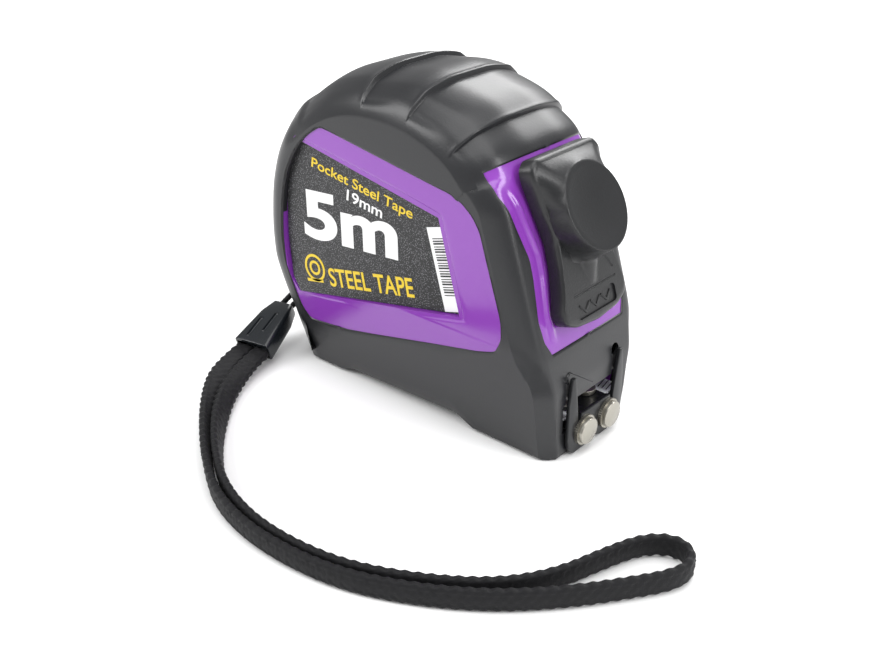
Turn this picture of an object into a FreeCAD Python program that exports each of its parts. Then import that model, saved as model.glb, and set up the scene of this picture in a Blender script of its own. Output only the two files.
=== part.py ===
import FreeCAD, Part
from FreeCAD import Vector as V
import math
import os

os.makedirs("parts", exist_ok=True)

# Pocket tape measure, 5 m x 19 mm.  Millimetres.  +X is the way the blade is
# pulled, +Z is up, z = 0 is the table it stands on, and the two halves of the
# case meet on y = 0.  The label side is -Y and the belt clip side is +Y.

# ---- driving dimensions: case
BODY_LENGTH = 80.7      # rear of the case to the nose face
BODY_HEIGHT = 72.5      # feet to the crown
BODY_WIDTH = 37.0       # over the rubber jacket
JACKET = 1.8            # rubber overmould
WALL = 2.2              # shell wall under the jacket
SHELL_SUNK = 0.45       # coloured shell below the jacket's skin, in its windows
FLOOR_Z = 5.6           # inside floor of the case
CROWN_FLAT = 4.0        # half width of the crown that is flat across
CROWN_DROP = 8.0        # how far the outline turns in at the flanks
SKIRT_HALF = 14.0       # half width at the feet
SKIRT_Z = 26.0          # height where the skirt reaches full width
ARCH_IN = 8.0           # the arches between the feet stop this far from the middle
LABEL_SUNK = 1.6        # floor of the label's recess below the flank
LABEL_THICK = 0.2
SCREW_R = 1.3
SCREW_HEAD_R = 2.3
SCREW_SEAT_Y = 9.0
POST_WALL = 1.5
LANYARD_PIN_R = 1.0

# ---- driving dimensions: blade, drum, hook
BLADE_WIDTH = 19.0
BLADE_THICK = 0.3
BLADE_CAMBER = 1.8
BLADE_Z = 6.8           # underside of the blade on its centre line
BLADE_UNDER_COIL = 2.5  # from that underside to the wound blade
COIL_R = 23.7           # wound blade, fully home
HUB_R = 17.7            # drum the blade is wound on
AXLE_R = 3.5
RUN_CLEAR = 0.05        # radial running clearance of the drum on its axle
SIDE_CLEAR = 0.2        # wound blade to each flange
FLANGE_THICK = 1.0
FLANGE_PROUD = 0.6      # flange past the wound blade
DRUM_GAP = 0.5          # flange to the wall beside it
DRUM_ROOM = 0.3         # flange's edge to the wall round it
SPRING_TURNS = 8
SPRING_THICK = 0.3
HOOK_WIDTH = 19.2
HOOK_THICK = 0.9
HOOK_PLAY = 0.9         # float of the hook, its own plate's thickness
HOOK_GAP = 0.3          # hook plate to the nose
MAGNET_R = 2.85
MAGNET_THICK = 1.6
MAGNET_Y, MAGNET_Z = 4.25, 4.75
COLLAR_WALL = 0.5
RIVET_R = 1.1
RIVET_CLEAR = 0.3

# ---- driving dimensions: lock, belt clip, strap
LOCK_TRAVEL = 4.5
LOCK_PROUD = 3.6        # lock plate above the front slope
BOSS_R = 8.6
DISH_TILT = 12.0
STEM_HALF = 3.6
STEM_CLEAR = 0.6
PAD_GAP = 0.35          # brake pad above the blade when the lock is down
CLIP_HALF = 7.0
CLIP_THICK = 0.9
CLIP_GAP = 6.0          # room under the clip, screw head included
CLIP_HEAD_R = 2.8
CLIP_HEAD_THICK = 1.0   # low head, so a belt slides over it
STRAP_W = 4.7
STRAP_T = 1.7
LANYARD_R = 0.7

# ---- derived places
KX = BODY_LENGTH / 80.7
KZ = BODY_HEIGHT / 72.5
HALF_W = BODY_WIDTH / 2.0
NOSE_X = 35.2 * KX
INNER_HALF = BLADE_WIDTH / 2.0 + SIDE_CLEAR + FLANGE_THICK + DRUM_GAP
FLANGE_R = COIL_R + FLANGE_PROUD
DRUM_X, DRUM_Z = -13.0, BLADE_Z + BLADE_UNDER_COIL + COIL_R
FAR = 60 * KX           # past the case along X
HIGH = 90 * KZ          # and above it
AXLE_HALF = HALF_W - 2.6
FLANK = HALF_W - LABEL_SUNK


# ---- shapes used all over
def box(x0, x1, y0, y1, z0, z1):
    return Part.makeBox(x1 - x0, y1 - y0, z1 - z0, V(x0, y0, z0))


def prism_y(points, y0, y1):
    """Closed outline in XZ, run from y0 to y1."""
    pts = [V(x, y0, z) for x, z in points]
    return Part.Face(Part.makePolygon(pts + [pts[0]])).extrude(V(0, y1 - y0, 0))


def prism_x(points, x0, x1):
    """Closed outline in YZ, run from x0 to x1."""
    pts = [V(x0, y, z) for y, z in points]
    return Part.Face(Part.makePolygon(pts + [pts[0]])).extrude(V(x1 - x0, 0, 0))


def rod_y(r, y0, y1, x, z):
    return Part.makeCylinder(r, y1 - y0, V(x, y0, z), V(0, 1, 0))


def ring_y(r0, r1, y0, y1, x, z):
    return rod_y(r1, y0, y1, x, z).cut(rod_y(r0, y0 - 1, y1 + 1, x, z))


def both_sides(points):
    """Half outline that starts on y = 0, with its mirror image."""
    return points + [(-y, v) for y, v in reversed(points) if abs(y) > 0.001]


def fuse(shapes):
    out = shapes[0].multiFuse(shapes[1:]) if len(shapes) > 1 else shapes[0]
    return out.removeSplitter()


def save(name, shape):
    if len(shape.Solids) == 1:
        shape = shape.Solids[0]
    shape.exportStep("parts/%s.step" % name)


# ---- outer form: one side outline, turned in towards both flanks
TOP = [(-41.6, 9.0), (-44.2, 18.5), (-45.5, 28.0), (-45.1, 38.5), (-43.3, 47.5),
       (-39.7, 55.5), (-34.1, 62.4), (-26.7, 67.6), (-18.2, 71.1), (-9.0, 72.5),
       (0.0, 72.1), (7.6, 70.1), (14.4, 66.7), (19.4, 62.6), (22.6, 58.0)]
CORNERS = [(33.8, 23.3), (35.2, 16.0), (35.2, -9.0), (-37.3, -9.0)]
SOFT = [1.0] * len(TOP) + [0.55, 0.35, 0.35, 1.0]   # share of CROWN_DROP at each point
OUTLINE = [(x * KX, z * KZ) for x, z in TOP + CORNERS]
STATIONS = [0.35, 0.58, 0.74, 0.86, 0.95, 1.0]      # across the half width
SLOPE_TOP = V(OUTLINE[len(TOP) - 1][0], 0, OUTLINE[len(TOP) - 1][1])
SLOPE_END = V(OUTLINE[len(TOP)][0], 0, OUTLINE[len(TOP)][1])
DOWN = (SLOPE_END - SLOPE_TOP).normalize()
OUT = V(-DOWN.z, 0, DOWN.x)


def inset_outline(t, drop):
    """The side outline moved inwards by t, and by its share of drop."""
    n = len(OUTLINE)
    out = []
    for i in range(n):
        (ax, az), (bx, bz), (cx, cz) = OUTLINE[i - 1], OUTLINE[i], OUTLINE[(i + 1) % n]
        before = math.hypot(bx - ax, bz - az)
        after = math.hypot(cx - bx, cz - bz)
        n1 = ((bz - az) / before, -(bx - ax) / before)
        n2 = ((cz - bz) / after, -(cx - bx) / after)
        k = (t + drop * SOFT[i]) / (1.0 + n1[0] * n2[0] + n1[1] * n2[1])
        out.append((bx + (n1[0] + n2[0]) * k, bz + (n1[1] + n2[1]) * k))
    return out


def body(t):
    """Case form, t inside the outer skin."""
    w = HALF_W - t
    wires = []
    for f in [-s for s in reversed(STATIONS)] + STATIONS:
        across = max(0.0, (abs(f) * w - CROWN_FLAT) / (w - CROWN_FLAT))
        drop = CROWN_DROP * (1.0 - math.sqrt(max(0.0, 1.0 - across * across)))
        p = [V(x, f * w, z) for x, z in inset_outline(t, drop)]
        curve = Part.BSplineCurve()
        curve.interpolate(p[:len(TOP)])
        corners = p[len(TOP) - 1:] + [p[0]]
        edges = [curve.toShape()]
        edges += [Part.makeLine(a, b) for a, b in zip(corners, corners[1:])]
        wires.append(Part.Wire(edges))
    shape = Part.makeLoft(wires, True, True)
    low, full = SKIRT_HALF - t, w + 0.2
    skirt = [(-low, 0.0), (low, 0.0), (full, SKIRT_Z * KZ),
             (full, HIGH), (-full, HIGH), (-full, SKIRT_Z * KZ)]
    return shape.common(prism_x(skirt, -FAR, FAR))


def on_slope(s, off, y=0.0):
    """Point s down the front slope, off out of it."""
    return SLOPE_TOP + DOWN * s + OUT * off + V(0, y, 0)


def slope_prism(points, off0, off1):
    """Outline in (y, s) on the front slope, from off0 to off1."""
    pts = [on_slope(s, off0, y) for y, s in points]
    return Part.Face(Part.makePolygon(pts + [pts[0]])).extrude(OUT * (off1 - off0))


# ---- windows the coloured shell shows through
SIDE_WINDOW = [(x * KX, z * KZ) for x, z in [
    (-25.1, 60.0), (-32.0, 54.2), (-35.6, 48.3), (-38.2, 40.4), (-38.5, 31.6), (-36.9, 22.7),
    (-35.7, 16.6), (-31.7, 12.0), (-19.2, 13.4), (-11.0, 15.2), (5.5, 19.1), (18.8, 22.1),
    (23.6, 23.7), (25.2, 26.9), (25.2, 30.3), (23.5, 38.8), (22.2, 42.5), (20.2, 47.3),
    (17.7, 50.6), (15.0, 52.6), (11.8, 53.7), (8.3, 54.2)]]
FRONT_WINDOW_HALF = [(15.6, -2.5), (15.8, 3.0), (14.2, 10.0), (12.6, 16.0), (12.8, 20.0),
                     (14.0, 28.0), (13.6, 32.5), (11.5, 34.3), (6.0, 35.6)]
LABEL = [(x * KX, z * KZ) for x, z in [
    (-29.3, 55.4), (9.2, 48.0), (14.7, 28.4), (-33.6, 18.7), (-35.6, 22.0), (-36.4, 32.1),
    (-35.8, 41.3), (-34.2, 48.3)]]
LABEL_TRIM = 0.985      # sticker against its recess

windows = fuse([prism_y(SIDE_WINDOW, -30, -9), prism_y(SIDE_WINDOW, 9, 30),
                slope_prism(both_sides(FRONT_WINDOW_HALF), -6.0, 12.0)])
outer = body(0.0)
under = body(JACKET).common(box(-FAR, FAR, -30, 30, 4.0, HIGH))
raised = body(SHELL_SUNK).common(windows).common(box(-FAR, FAR, -30, 30, 4.0, HIGH))
inner = body(JACKET + WALL).common(box(-FAR, FAR, -HALF_W, HALF_W, FLOOR_Z, HIGH))

# mouth the blade runs out of, slots the hook's prongs sit in, slot for the lock's stem
MOUTH_HALF = BLADE_WIDTH / 2.0 + 0.7
MOUTH_TOP = FLOOR_Z + BLADE_CAMBER + 5.0
PRONG_Y = HOOK_WIDTH / 2.0 - 1.4
STEM_S0, STEM_S1 = 11.2, 21.8
mouth = box(20 * KX, NOSE_X + 5, -MOUTH_HALF, MOUTH_HALF, FLOOR_Z, MOUTH_TOP)
prong_slots = fuse([box(NOSE_X - 0.9, NOSE_X + 2, y - 1.3, y + 1.3, 7.0, 19.0) for y in (-PRONG_Y, PRONG_Y)])
lock_slot = slope_prism([(-STEM_HALF - STEM_CLEAR, STEM_S0 - 0.7), (STEM_HALF + STEM_CLEAR, STEM_S0 - 0.7),
                         (STEM_HALF + STEM_CLEAR, STEM_S1 + LOCK_TRAVEL + 0.7),
                         (-STEM_HALF - STEM_CLEAR, STEM_S1 + LOCK_TRAVEL + 0.7)], -9, 5)

# screw posts, clear of the drum, and the pin the wrist strap is tied to
SCREWS = [(-33.2 * KX, 9.0), (-30.8 * KX, 54.6 * KZ), (9.5 * KX, 59.0 * KZ), (27.6 * KX, 17.2)]
HEAD_HOLE_R = SCREW_HEAD_R + 0.2
AXLE_SEAT = AXLE_R + 2.1
PIN_X, PIN_Z, PIN_HALF = -39.2 * KX, 14.0, 6.0
GAP_HALF = 3.5          # half width of the gap the cord is tied in
drum_room = rod_y(FLANGE_R + DRUM_ROOM, -INNER_HALF, INNER_HALF, DRUM_X, DRUM_Z)   # the drum turns in it
lanyard_gap = box(-FAR, PIN_X + 3.2, -GAP_HALF, GAP_HALF, PIN_Z - 3.4, PIN_Z + 3.4)


def side_of(sign):
    """Everything on one side of the split."""
    return box(-FAR, FAR, 0, 40, -5, HIGH + 5) if sign > 0 else box(-FAR, FAR, -40, 0, -5, HIGH + 5)


def shell_half(sign):
    """One shell half: skin, screw posts, axle seat, anchor block for the pin."""
    posts = [rod_y(SCREW_R + POST_WALL, -HALF_W + 2, HALF_W - 2, x, z) for x, z in SCREWS]
    posts.append(rod_y(AXLE_SEAT, -HALF_W + 2, HALF_W - 2, DRUM_X, DRUM_Z).cut(
        box(-FAR, FAR, -INNER_HALF, INNER_HALF, 0, HIGH)))
    posts.append(box(-FAR, PIN_X + 4.6, -4.6, 4.6, PIN_Z - 4.6, PIN_Z + 4.6))
    s = fuse([under, raised]).cut(inner.cut(fuse(posts)))
    s = s.cut(mouth).cut(lock_slot).cut(lanyard_gap).common(side_of(sign))
    s = s.cut(drum_room)
    s = s.cut(rod_y(AXLE_R, -AXLE_HALF, AXLE_HALF, DRUM_X, DRUM_Z))
    s = s.cut(rod_y(LANYARD_PIN_R, -PIN_HALF, PIN_HALF, PIN_X, PIN_Z))
    for x, z in SCREWS:
        if sign > 0:
            s = s.cut(rod_y(SCREW_R + 0.25, 0, SCREW_SEAT_Y + 3, x, z))
            s = s.cut(rod_y(HEAD_HOLE_R, SCREW_SEAT_Y, 40, x, z))
        else:
            s = s.cut(rod_y(SCREW_R, -SCREW_SEAT_Y, 0, x, z))
    if sign > 0:
        s = s.cut(rod_y(SCREW_R + 0.3, 10, 40, DRUM_X, DRUM_Z))
        return s.cut(prism_y(LABEL, FLANK, 40))
    return s.cut(prism_y(LABEL, -40, -FLANK))


GROOVES = [(15.4, 66.0, 34), (2.4, 71.6, 14), (-11.4, 72.4, -4), (-31.0, 65.0, -38)]   # x, z, lean
GROOVE_WIDE, GROOVE_DEEP = 0.8, 1.0
ARCH = [(-26.6, -1), (-25.8, 0.4), (-20.4, 2.0), (10.4, 2.8), (16.8, 0.0), (17.4, -1)]


def jacket_half(sign):
    """Rubber overmould of one shell half, with the grooves over the crown and an arch between the feet."""
    s = outer.cut(under).cut(windows).cut(mouth).cut(prong_slots).cut(lock_slot).cut(lanyard_gap)
    s = s.cut(box(-FAR, FAR, -40, 40, -30, 0))
    arch = [(x * KX, z) for x, z in ARCH]
    s = s.cut(prism_y(arch, -30, -ARCH_IN)).cut(prism_y(arch, ARCH_IN, 30))
    for x, z, lean in GROOVES:
        groove = Part.makeBox(GROOVE_WIDE, 30, 6, V(-GROOVE_WIDE / 2, -15, -GROOVE_DEEP))
        groove.rotate(V(0, 0, 0), V(0, 1, 0), lean)
        groove.translate(V(x * KX, 0, z * KZ))
        s = s.cut(groove)
    if sign > 0:
        for x, z in SCREWS:
            s = s.cut(rod_y(HEAD_HOLE_R, SCREW_SEAT_Y, 40, x, z))
    return s.common(side_of(sign))


save("shell_left", shell_half(-1))
save("shell_right", shell_half(1))
save("jacket_left", jacket_half(-1))
save("jacket_right", jacket_half(1))

sticker = [(x * LABEL_TRIM - 0.15 * KX, z * LABEL_TRIM + 0.55 * KZ) for x, z in LABEL]
save("label_left", prism_y(sticker, -FLANK - LABEL_THICK, -FLANK))
save("label_right", prism_y(sticker, FLANK, FLANK + LABEL_THICK).cut(rod_y(3.2, 10, 30, DRUM_X, DRUM_Z)))


# ---- four self-tapping screws with cross recesses, driven from the right
def case_screw(x, z):
    s = fuse([rod_y(SCREW_R, 1.0 - SCREW_SEAT_Y, SCREW_SEAT_Y + 0.5, x, z),
              rod_y(SCREW_HEAD_R, SCREW_SEAT_Y, SCREW_SEAT_Y + 1.6, x, z)])
    for half_x, half_z in ((1.6, 0.3), (0.3, 1.6)):
        s = s.cut(box(x - half_x, x + half_x, SCREW_SEAT_Y + 1.0, SCREW_SEAT_Y + 2, z - half_z, z + half_z))
    return s


save("case_screws", Part.makeCompound([case_screw(x, z) for x, z in SCREWS]))

# ---- axle, with a slot for the spring's inner end and a tapped right end
axle = rod_y(AXLE_R, -AXLE_HALF, AXLE_HALF, DRUM_X, DRUM_Z)
axle = axle.cut(box(DRUM_X - 0.35, DRUM_X + 0.35, -6.5, 6.5, DRUM_Z, DRUM_Z + AXLE_R + 1))
axle = axle.cut(rod_y(SCREW_R, HALF_W - 10, HALF_W, DRUM_X, DRUM_Z))
save("drum_axle", axle)

# ---- drum: cup with a right flange, closed by a left flange that snaps in
CUP_HALF = BLADE_WIDTH / 2.0 + SIDE_CLEAR
CUP_END = CUP_HALF + FLANGE_THICK
CUP_WALL = 1.5
BORE_R = AXLE_R + RUN_CLEAR
HUB_BOSS_R = AXLE_R + 1.6
cup = fuse([ring_y(HUB_R - CUP_WALL, HUB_R, -CUP_HALF, CUP_HALF, DRUM_X, DRUM_Z),
            ring_y(BORE_R, FLANGE_R, CUP_HALF, CUP_END, DRUM_X, DRUM_Z),
            ring_y(BORE_R, HUB_BOSS_R, CUP_HALF - 1.8, CUP_HALF, DRUM_X, DRUM_Z)])
HOLE_RING = (HUB_R + AXLE_R) / 2 + 0.4
for k in range(6):
    a = math.radians(60 * k + 15)
    cup = cup.cut(rod_y(3.2, CUP_HALF - 1, CUP_END + 1,
                        DRUM_X + HOLE_RING * math.cos(a), DRUM_Z + HOLE_RING * math.sin(a)))
save("tape_drum", cup)
cover = fuse([ring_y(BORE_R, FLANGE_R, -CUP_END, -CUP_HALF, DRUM_X, DRUM_Z),
              ring_y(BORE_R, HUB_BOSS_R, -CUP_HALF, -CUP_HALF + 1.8, DRUM_X, DRUM_Z),
              ring_y(HUB_R - CUP_WALL - 1.2, HUB_R - CUP_WALL, -CUP_HALF, -CUP_HALF + 1.2, DRUM_X, DRUM_Z)])
save("drum_cover", cover)

# ---- power spring: flat steel ribbon wound in the cup
SPRING_HALF = 6.0
SPRING_STEPS = 20       # points a turn
SPRING_IN = HUB_BOSS_R + 0.6
SPRING_OUT = HUB_R - CUP_WALL - SPRING_THICK


def spiral(extra):
    """Points of the winding, extra further out."""
    pts = []
    total = SPRING_TURNS * SPRING_STEPS
    for i in range(total + 1):
        a = 2 * math.pi * i / SPRING_STEPS
        r = SPRING_IN + (SPRING_OUT - SPRING_IN) * i / total + extra
        pts.append(V(DRUM_X + r * math.cos(a), -SPRING_HALF, DRUM_Z + r * math.sin(a)))
    return pts


near, far = spiral(0.0), spiral(SPRING_THICK)
near_curve, far_curve = Part.BSplineCurve(), Part.BSplineCurve()
near_curve.interpolate(near)
far_curve.interpolate(far)
ribbon = Part.Wire([near_curve.toShape(), Part.makeLine(near[-1], far[-1]),
                    far_curve.toShape(), Part.makeLine(far[0], near[0])])
save("power_spring", Part.Face(ribbon).extrude(V(0, 2 * SPRING_HALF, 0)))

# ---- wound blade
save("blade_coil", ring_y(HUB_R, COIL_R, -BLADE_WIDTH / 2, BLADE_WIDTH / 2, DRUM_X, DRUM_Z))

# ---- straight end of the blade: a cambered steel strip
CAMBER_R = ((BLADE_WIDTH / 2) ** 2 + BLADE_CAMBER ** 2) / (2 * BLADE_CAMBER)
TAIL_X = -29.0 * KX
TONGUE_LIFT, TONGUE_THICK, TONGUE_HALF = BLADE_THICK + 0.3, 0.7, 5.0
RIVETS = [(NOSE_X - 3.8, -3.4), (NOSE_X - 3.8, 3.4), (NOSE_X - 9.0, 0.0)]


def camber_rod(r, x0, x1):
    return Part.makeCylinder(r, x1 - x0, V(x0, 0, BLADE_Z + CAMBER_R), V(1, 0, 0))


def strip(lift, thick, half_w, x0, x1):
    """Cambered strip whose underside is lift above the blade's underside."""
    s = camber_rod(CAMBER_R - lift, x0, x1).cut(camber_rod(CAMBER_R - lift - thick, x0 - 1, x1 + 1))
    return s.common(box(x0 - 1, x1 + 1, -half_w, half_w, 0, BLADE_Z + 8))


blade = strip(0, BLADE_THICK, BLADE_WIDTH / 2, TAIL_X, NOSE_X - 0.2)
for x, y in RIVETS:
    blade = blade.cut(Part.makeCylinder(RIVET_R, 10, V(x, y, 2)))
save("blade", blade)


# ---- rivets that hold the hook and let it float
def rivet(x, y):
    seat = TONGUE_LIFT + TONGUE_THICK + 0.1
    top_z = BLADE_Z + seat
    low = Part.makeCylinder(1.9, 2.0, V(x, y, BLADE_Z - 0.45)).cut(camber_rod(CAMBER_R, x - 5, x + 5))
    top = Part.makeCylinder(2.1, 1.6, V(x, y, top_z - 0.1)).common(camber_rod(CAMBER_R - seat, x - 5, x + 5))
    top = top.common(box(x - 3, x + 3, y - 3, y + 3, 0, top_z + 0.95 + 0.02 * y * y))
    return fuse([low, top, Part.makeCylinder(RIVET_R, top_z + 0.6 - BLADE_Z, V(x, y, BLADE_Z - 0.2))])


save("hook_rivets", Part.makeCompound([rivet(x, y) for x, y in RIVETS]))

# ---- hook: tongue on the blade, forked plate in front of the nose
HOOK_X0 = NOSE_X + HOOK_GAP
HOOK_X1 = HOOK_X0 + HOOK_THICK
HALF_HOOK = HOOK_WIDTH / 2.0
HOOK_LOW, HOOK_TOP = 0.35, 18.2
hook_half = [(0, 1.9), (1.9, HOOK_LOW), (HALF_HOOK - 2.0, HOOK_LOW), (HALF_HOOK - 0.8, 1.4),
             (HALF_HOOK, 4.0), (HALF_HOOK, 12.5), (HALF_HOOK - 0.7, HOOK_TOP), (HALF_HOOK - 1.8, HOOK_TOP),
             (HALF_HOOK - 2.9, 11.0), (HALF_HOOK - 3.4, 7.0), (HALF_HOOK - 4.0, 7.0), (HALF_HOOK - 4.5, 8.7)]
hook = fuse([prism_x(both_sides(hook_half), HOOK_X0, HOOK_X1),
             strip(TONGUE_LIFT, TONGUE_THICK, TONGUE_HALF, NOSE_X - 13.0, HOOK_X0 + 0.1)])
for x, y in RIVETS:
    slot_half = RIVET_R + RIVET_CLEAR
    hook = hook.cut(box(x - HOOK_PLAY, x, y - slot_half, y + slot_half, BLADE_Z - 0.2, BLADE_Z + 4))
    for dx in (-HOOK_PLAY, 0.0):
        hook = hook.cut(Part.makeCylinder(slot_half, 4.2, V(x + dx, y, BLADE_Z - 0.2)))
save("hook", hook)


def disc_x(r, y, x0, thick):
    return Part.makeCylinder(r, thick, V(x0, y, MAGNET_Z), V(1, 0, 0))


magnet_places = (-MAGNET_Y, MAGNET_Y)
save("magnet_collars", Part.makeCompound([
    disc_x(MAGNET_R + COLLAR_WALL, y, HOOK_X1, 0.7).cut(disc_x(MAGNET_R, y, HOOK_X1 - 0.5, 2))
    for y in magnet_places]))
save("hook_magnets", Part.makeCompound([disc_x(MAGNET_R, y, HOOK_X1, MAGNET_THICK) for y in magnet_places]))

# ---- liner in the mouth's floor
save("mouth_liner", box(20.0 * KX, NOSE_X - 0.6, 0.4 - MOUTH_HALF, MOUTH_HALF - 0.4, FLOOR_Z, FLOOR_Z + 0.5))

# ---- thumb lock: cap outside, stem through the slot
BOSS_S, BOSS_OFF = 9.5, 10.2
DISH_R, DISH_DEEP = 24.0, 0.8
lock_half = [(0.0, -2.0), (9.4, -2.0), (11.0, -0.4), (11.0, 1.8), (9.6, 8.4), (8.3, 14.6), (8.5, 19.6),
             (9.4, 24.0), (10.7, 28.2), (10.0, 30.4), (7.0, 31.8), (0.0, 32.5)]
cap = slope_prism(both_sides(lock_half), 0.2, LOCK_PROUD)
boss = Part.makeCylinder(BOSS_R, BOSS_OFF + 1.8, on_slope(BOSS_S, 2.4), OUT)
tilt = math.radians(DISH_TILT)
face = OUT * math.cos(tilt) - DOWN * math.sin(tilt)
boss = boss.cut(Part.makeCylinder(30, 20, on_slope(BOSS_S, BOSS_OFF), face))
boss = boss.cut(Part.makeSphere(DISH_R, on_slope(BOSS_S, BOSS_OFF) + face * (DISH_R - DISH_DEEP)))
ridge = Part.makeCone(6.0, 0.8, 14.5, on_slope(BOSS_S + 1.0, 2.8), DOWN)
ridge = ridge.common(slope_prism([(-12, -10), (12, -10), (12, 40), (-12, 40)], 0.4, 12))
FLANGE_OFF = -4.8       # retaining flange starts this far inside the slope
stem = slope_prism([(-STEM_HALF, STEM_S0), (STEM_HALF, STEM_S0), (STEM_HALF, STEM_S1), (-STEM_HALF, STEM_S1)],
                   FLANGE_OFF, 0.4)
save("lock_slider", fuse([cap, boss, ridge, stem]))

# ---- brake arm clipped to the stem from inside; its foot clamps the blade
FLANGE_DEEP = FLANGE_OFF - 2.4
PAD_THICK = 0.9
FOOT_Z = BLADE_Z + BLADE_THICK + PAD_GAP + LOCK_TRAVEL * abs(DOWN.z)
foot_top = FOOT_Z + PAD_THICK
corners = [on_slope(STEM_S0 - 0.6, FLANGE_OFF), on_slope(STEM_S1 + 0.6, FLANGE_OFF),
           on_slope(STEM_S1 + 0.6, FLANGE_DEEP), on_slope(STEM_S0 - 0.6, FLANGE_DEEP)]
flange = prism_y([(p.x, p.z) for p in corners], -STEM_HALF - 3.0, STEM_HALF + 3.0)
upper, lower = on_slope(17.0, FLANGE_DEEP + 0.7), on_slope(STEM_S1 + 0.6, FLANGE_DEEP + 0.7)
arm = prism_y([(upper.x - 1.5, upper.z), (lower.x, lower.z),
               (21.0 * KX, foot_top + 2.1), (21.0 * KX, foot_top),
               (15.6 * KX, foot_top), (15.6 * KX, foot_top + 1.7), (17.0 * KX, foot_top + 2.5)],
              -STEM_HALF, STEM_HALF)
save("lock_shoe", fuse([flange, arm]))
save("brake_pad", box(15.8 * KX, 20.8 * KX, -3.4, 3.4, FOOT_Z, foot_top))

# ---- belt clip on the right flank, held by a screw into the axle
CLIP_Y = HALF_W - 0.4
clip_out = CLIP_Y + CLIP_THICK + CLIP_GAP
x0, x1 = DRUM_X - CLIP_HALF, DRUM_X + CLIP_HALF
clip = fuse([box(x0, x1, CLIP_Y, CLIP_Y + CLIP_THICK, DRUM_Z - 8, DRUM_Z + 16),
             box(x0, x1, CLIP_Y, clip_out + CLIP_THICK, DRUM_Z + 16 - CLIP_THICK, DRUM_Z + 16),
             box(x0, x1, clip_out, clip_out + CLIP_THICK, DRUM_Z - 16, DRUM_Z + 16),
             prism_x([(clip_out, DRUM_Z - 16), (clip_out + CLIP_THICK, DRUM_Z - 16),
                      (clip_out + 2.9, DRUM_Z - 20.5), (clip_out + 2.1, DRUM_Z - 20.9)], x0, x1)])
clip = clip.cut(rod_y(SCREW_R + 0.4, CLIP_Y - 2, CLIP_Y + 3, DRUM_X, DRUM_Z))
save("belt_clip", clip.cut(rod_y(CLIP_HEAD_R + 0.6, CLIP_Y + 3, clip_out + 3, DRUM_X, DRUM_Z)))
screw = fuse([rod_y(SCREW_R, HALF_W - 9.0, CLIP_Y + 1.4, DRUM_X, DRUM_Z),
              rod_y(CLIP_HEAD_R, CLIP_Y + CLIP_THICK, CLIP_Y + CLIP_THICK + CLIP_HEAD_THICK, DRUM_X, DRUM_Z)])
save("belt_clip_screw", screw.cut(box(DRUM_X - 1.8, DRUM_X + 1.8, CLIP_Y + CLIP_THICK + 0.5, CLIP_Y + 4,
                                      DRUM_Z - 0.35, DRUM_Z + 0.35)))

# ---- steel pin across the lanyard gap
save("lanyard_pin", rod_y(LANYARD_PIN_R, -PIN_HALF, PIN_HALF, PIN_X, PIN_Z))


# ---- cords: straight runs joined by arcs, each as large as its two runs allow
def arc_at(a, b, c):
    """Start, middle, end and radius of the arc that rounds the corner b."""
    before, after = (a - b), (c - b)
    run = min(before.Length, after.Length)
    before.normalize()
    after.normalize()
    half_turn = (math.pi - before.getAngle(after)) / 2.0
    r = 0.45 * run / math.tan(half_turn)
    inward = (before + after).normalize()
    middle = b + inward * (r / math.cos(half_turn) - r)
    return b + before * (0.45 * run), middle, b + after * (0.45 * run), r


def report(name, points, radii):
    """Prints a route's number of points and its smallest radius."""
    length = sum((b - a).Length for a, b in zip(points, points[1:]))
    print("%s: %d points, runs %.1f mm, radii from %.1f mm: %s"
          % (name, len(points), length, min(radii), " ".join("%.1f" % r for r in radii)))


# ---- strap clip: a moulded ferrule, narrow where the thin cord goes in
CLIP_TOP, CLIP_END = V(-45.9 * KX, -11.4, 8.4), V(-43.2 * KX, -24.2, 3.2)
ALONG = (CLIP_END - CLIP_TOP).normalize()
ACROSS = ALONG.cross(V(0, 0, 1)).normalize()
ABOVE = ACROSS.cross(ALONG).normalize()


def ferrule_section(centre, half_wide, half_high):
    """Rectangle across the ferrule's axis."""
    p = [centre + ACROSS * (half_wide * i) + ABOVE * (half_high * j)
         for i, j in ((-1, -1), (1, -1), (1, 1), (-1, 1))]
    return Part.makePolygon(p + [p[0]])


save("strap_clip", Part.makeLoft([ferrule_section(CLIP_TOP, 2.9, 2.0),
                                  ferrule_section(CLIP_TOP + ALONG * 4.0, 3.9, 2.4),
                                  ferrule_section(CLIP_END, STRAP_W + 0.2, 2.6)], True, True))

# ---- thin cord: one strand up from the clip, round the pin and back
TURN_R = LANYARD_PIN_R + LANYARD_R + 0.15
STRAND = [CLIP_TOP + ALONG * 0.2, CLIP_TOP - ALONG * 3.5 + V(0.8, 0, 0.6), V(-44.6 * KX, -4.2, 12.4)]
STRAND_APART = [1.0, 0.95, 0.85]
above = [p + ACROSS * a + V(0, 0, 0.5 * a) for p, a in zip(STRAND, STRAND_APART)]
below = [p - ACROSS * a - V(0, 0, 0.5 * a) for p, a in zip(STRAND, STRAND_APART)]
loop = []
for degrees in (-62, 0, 62):
    a = math.radians(degrees)
    r = TURN_R / math.cos(math.radians(31))
    loop.append(V(PIN_X + r * math.cos(a), 0, PIN_Z + r * math.sin(a)))
lanyard = below + [V(PIN_X - 2.2, -0.8, PIN_Z - TURN_R)] + loop + [V(PIN_X - 2.2, -0.4, PIN_Z + TURN_R)]
lanyard += list(reversed(above))
path, radii, here = [], [], lanyard[0]
for a, b, c in zip(lanyard, lanyard[1:], lanyard[2:]):
    start, middle, end, r = arc_at(a, b, c)
    path += [Part.LineSegment(here, start).toShape(), Part.Arc(start, middle, end).toShape()]
    radii.append(r)
    here = end
path = Part.Wire(path + [Part.LineSegment(here, lanyard[-1]).toShape()])
report("lanyard_cord", lanyard, radii)
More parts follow.
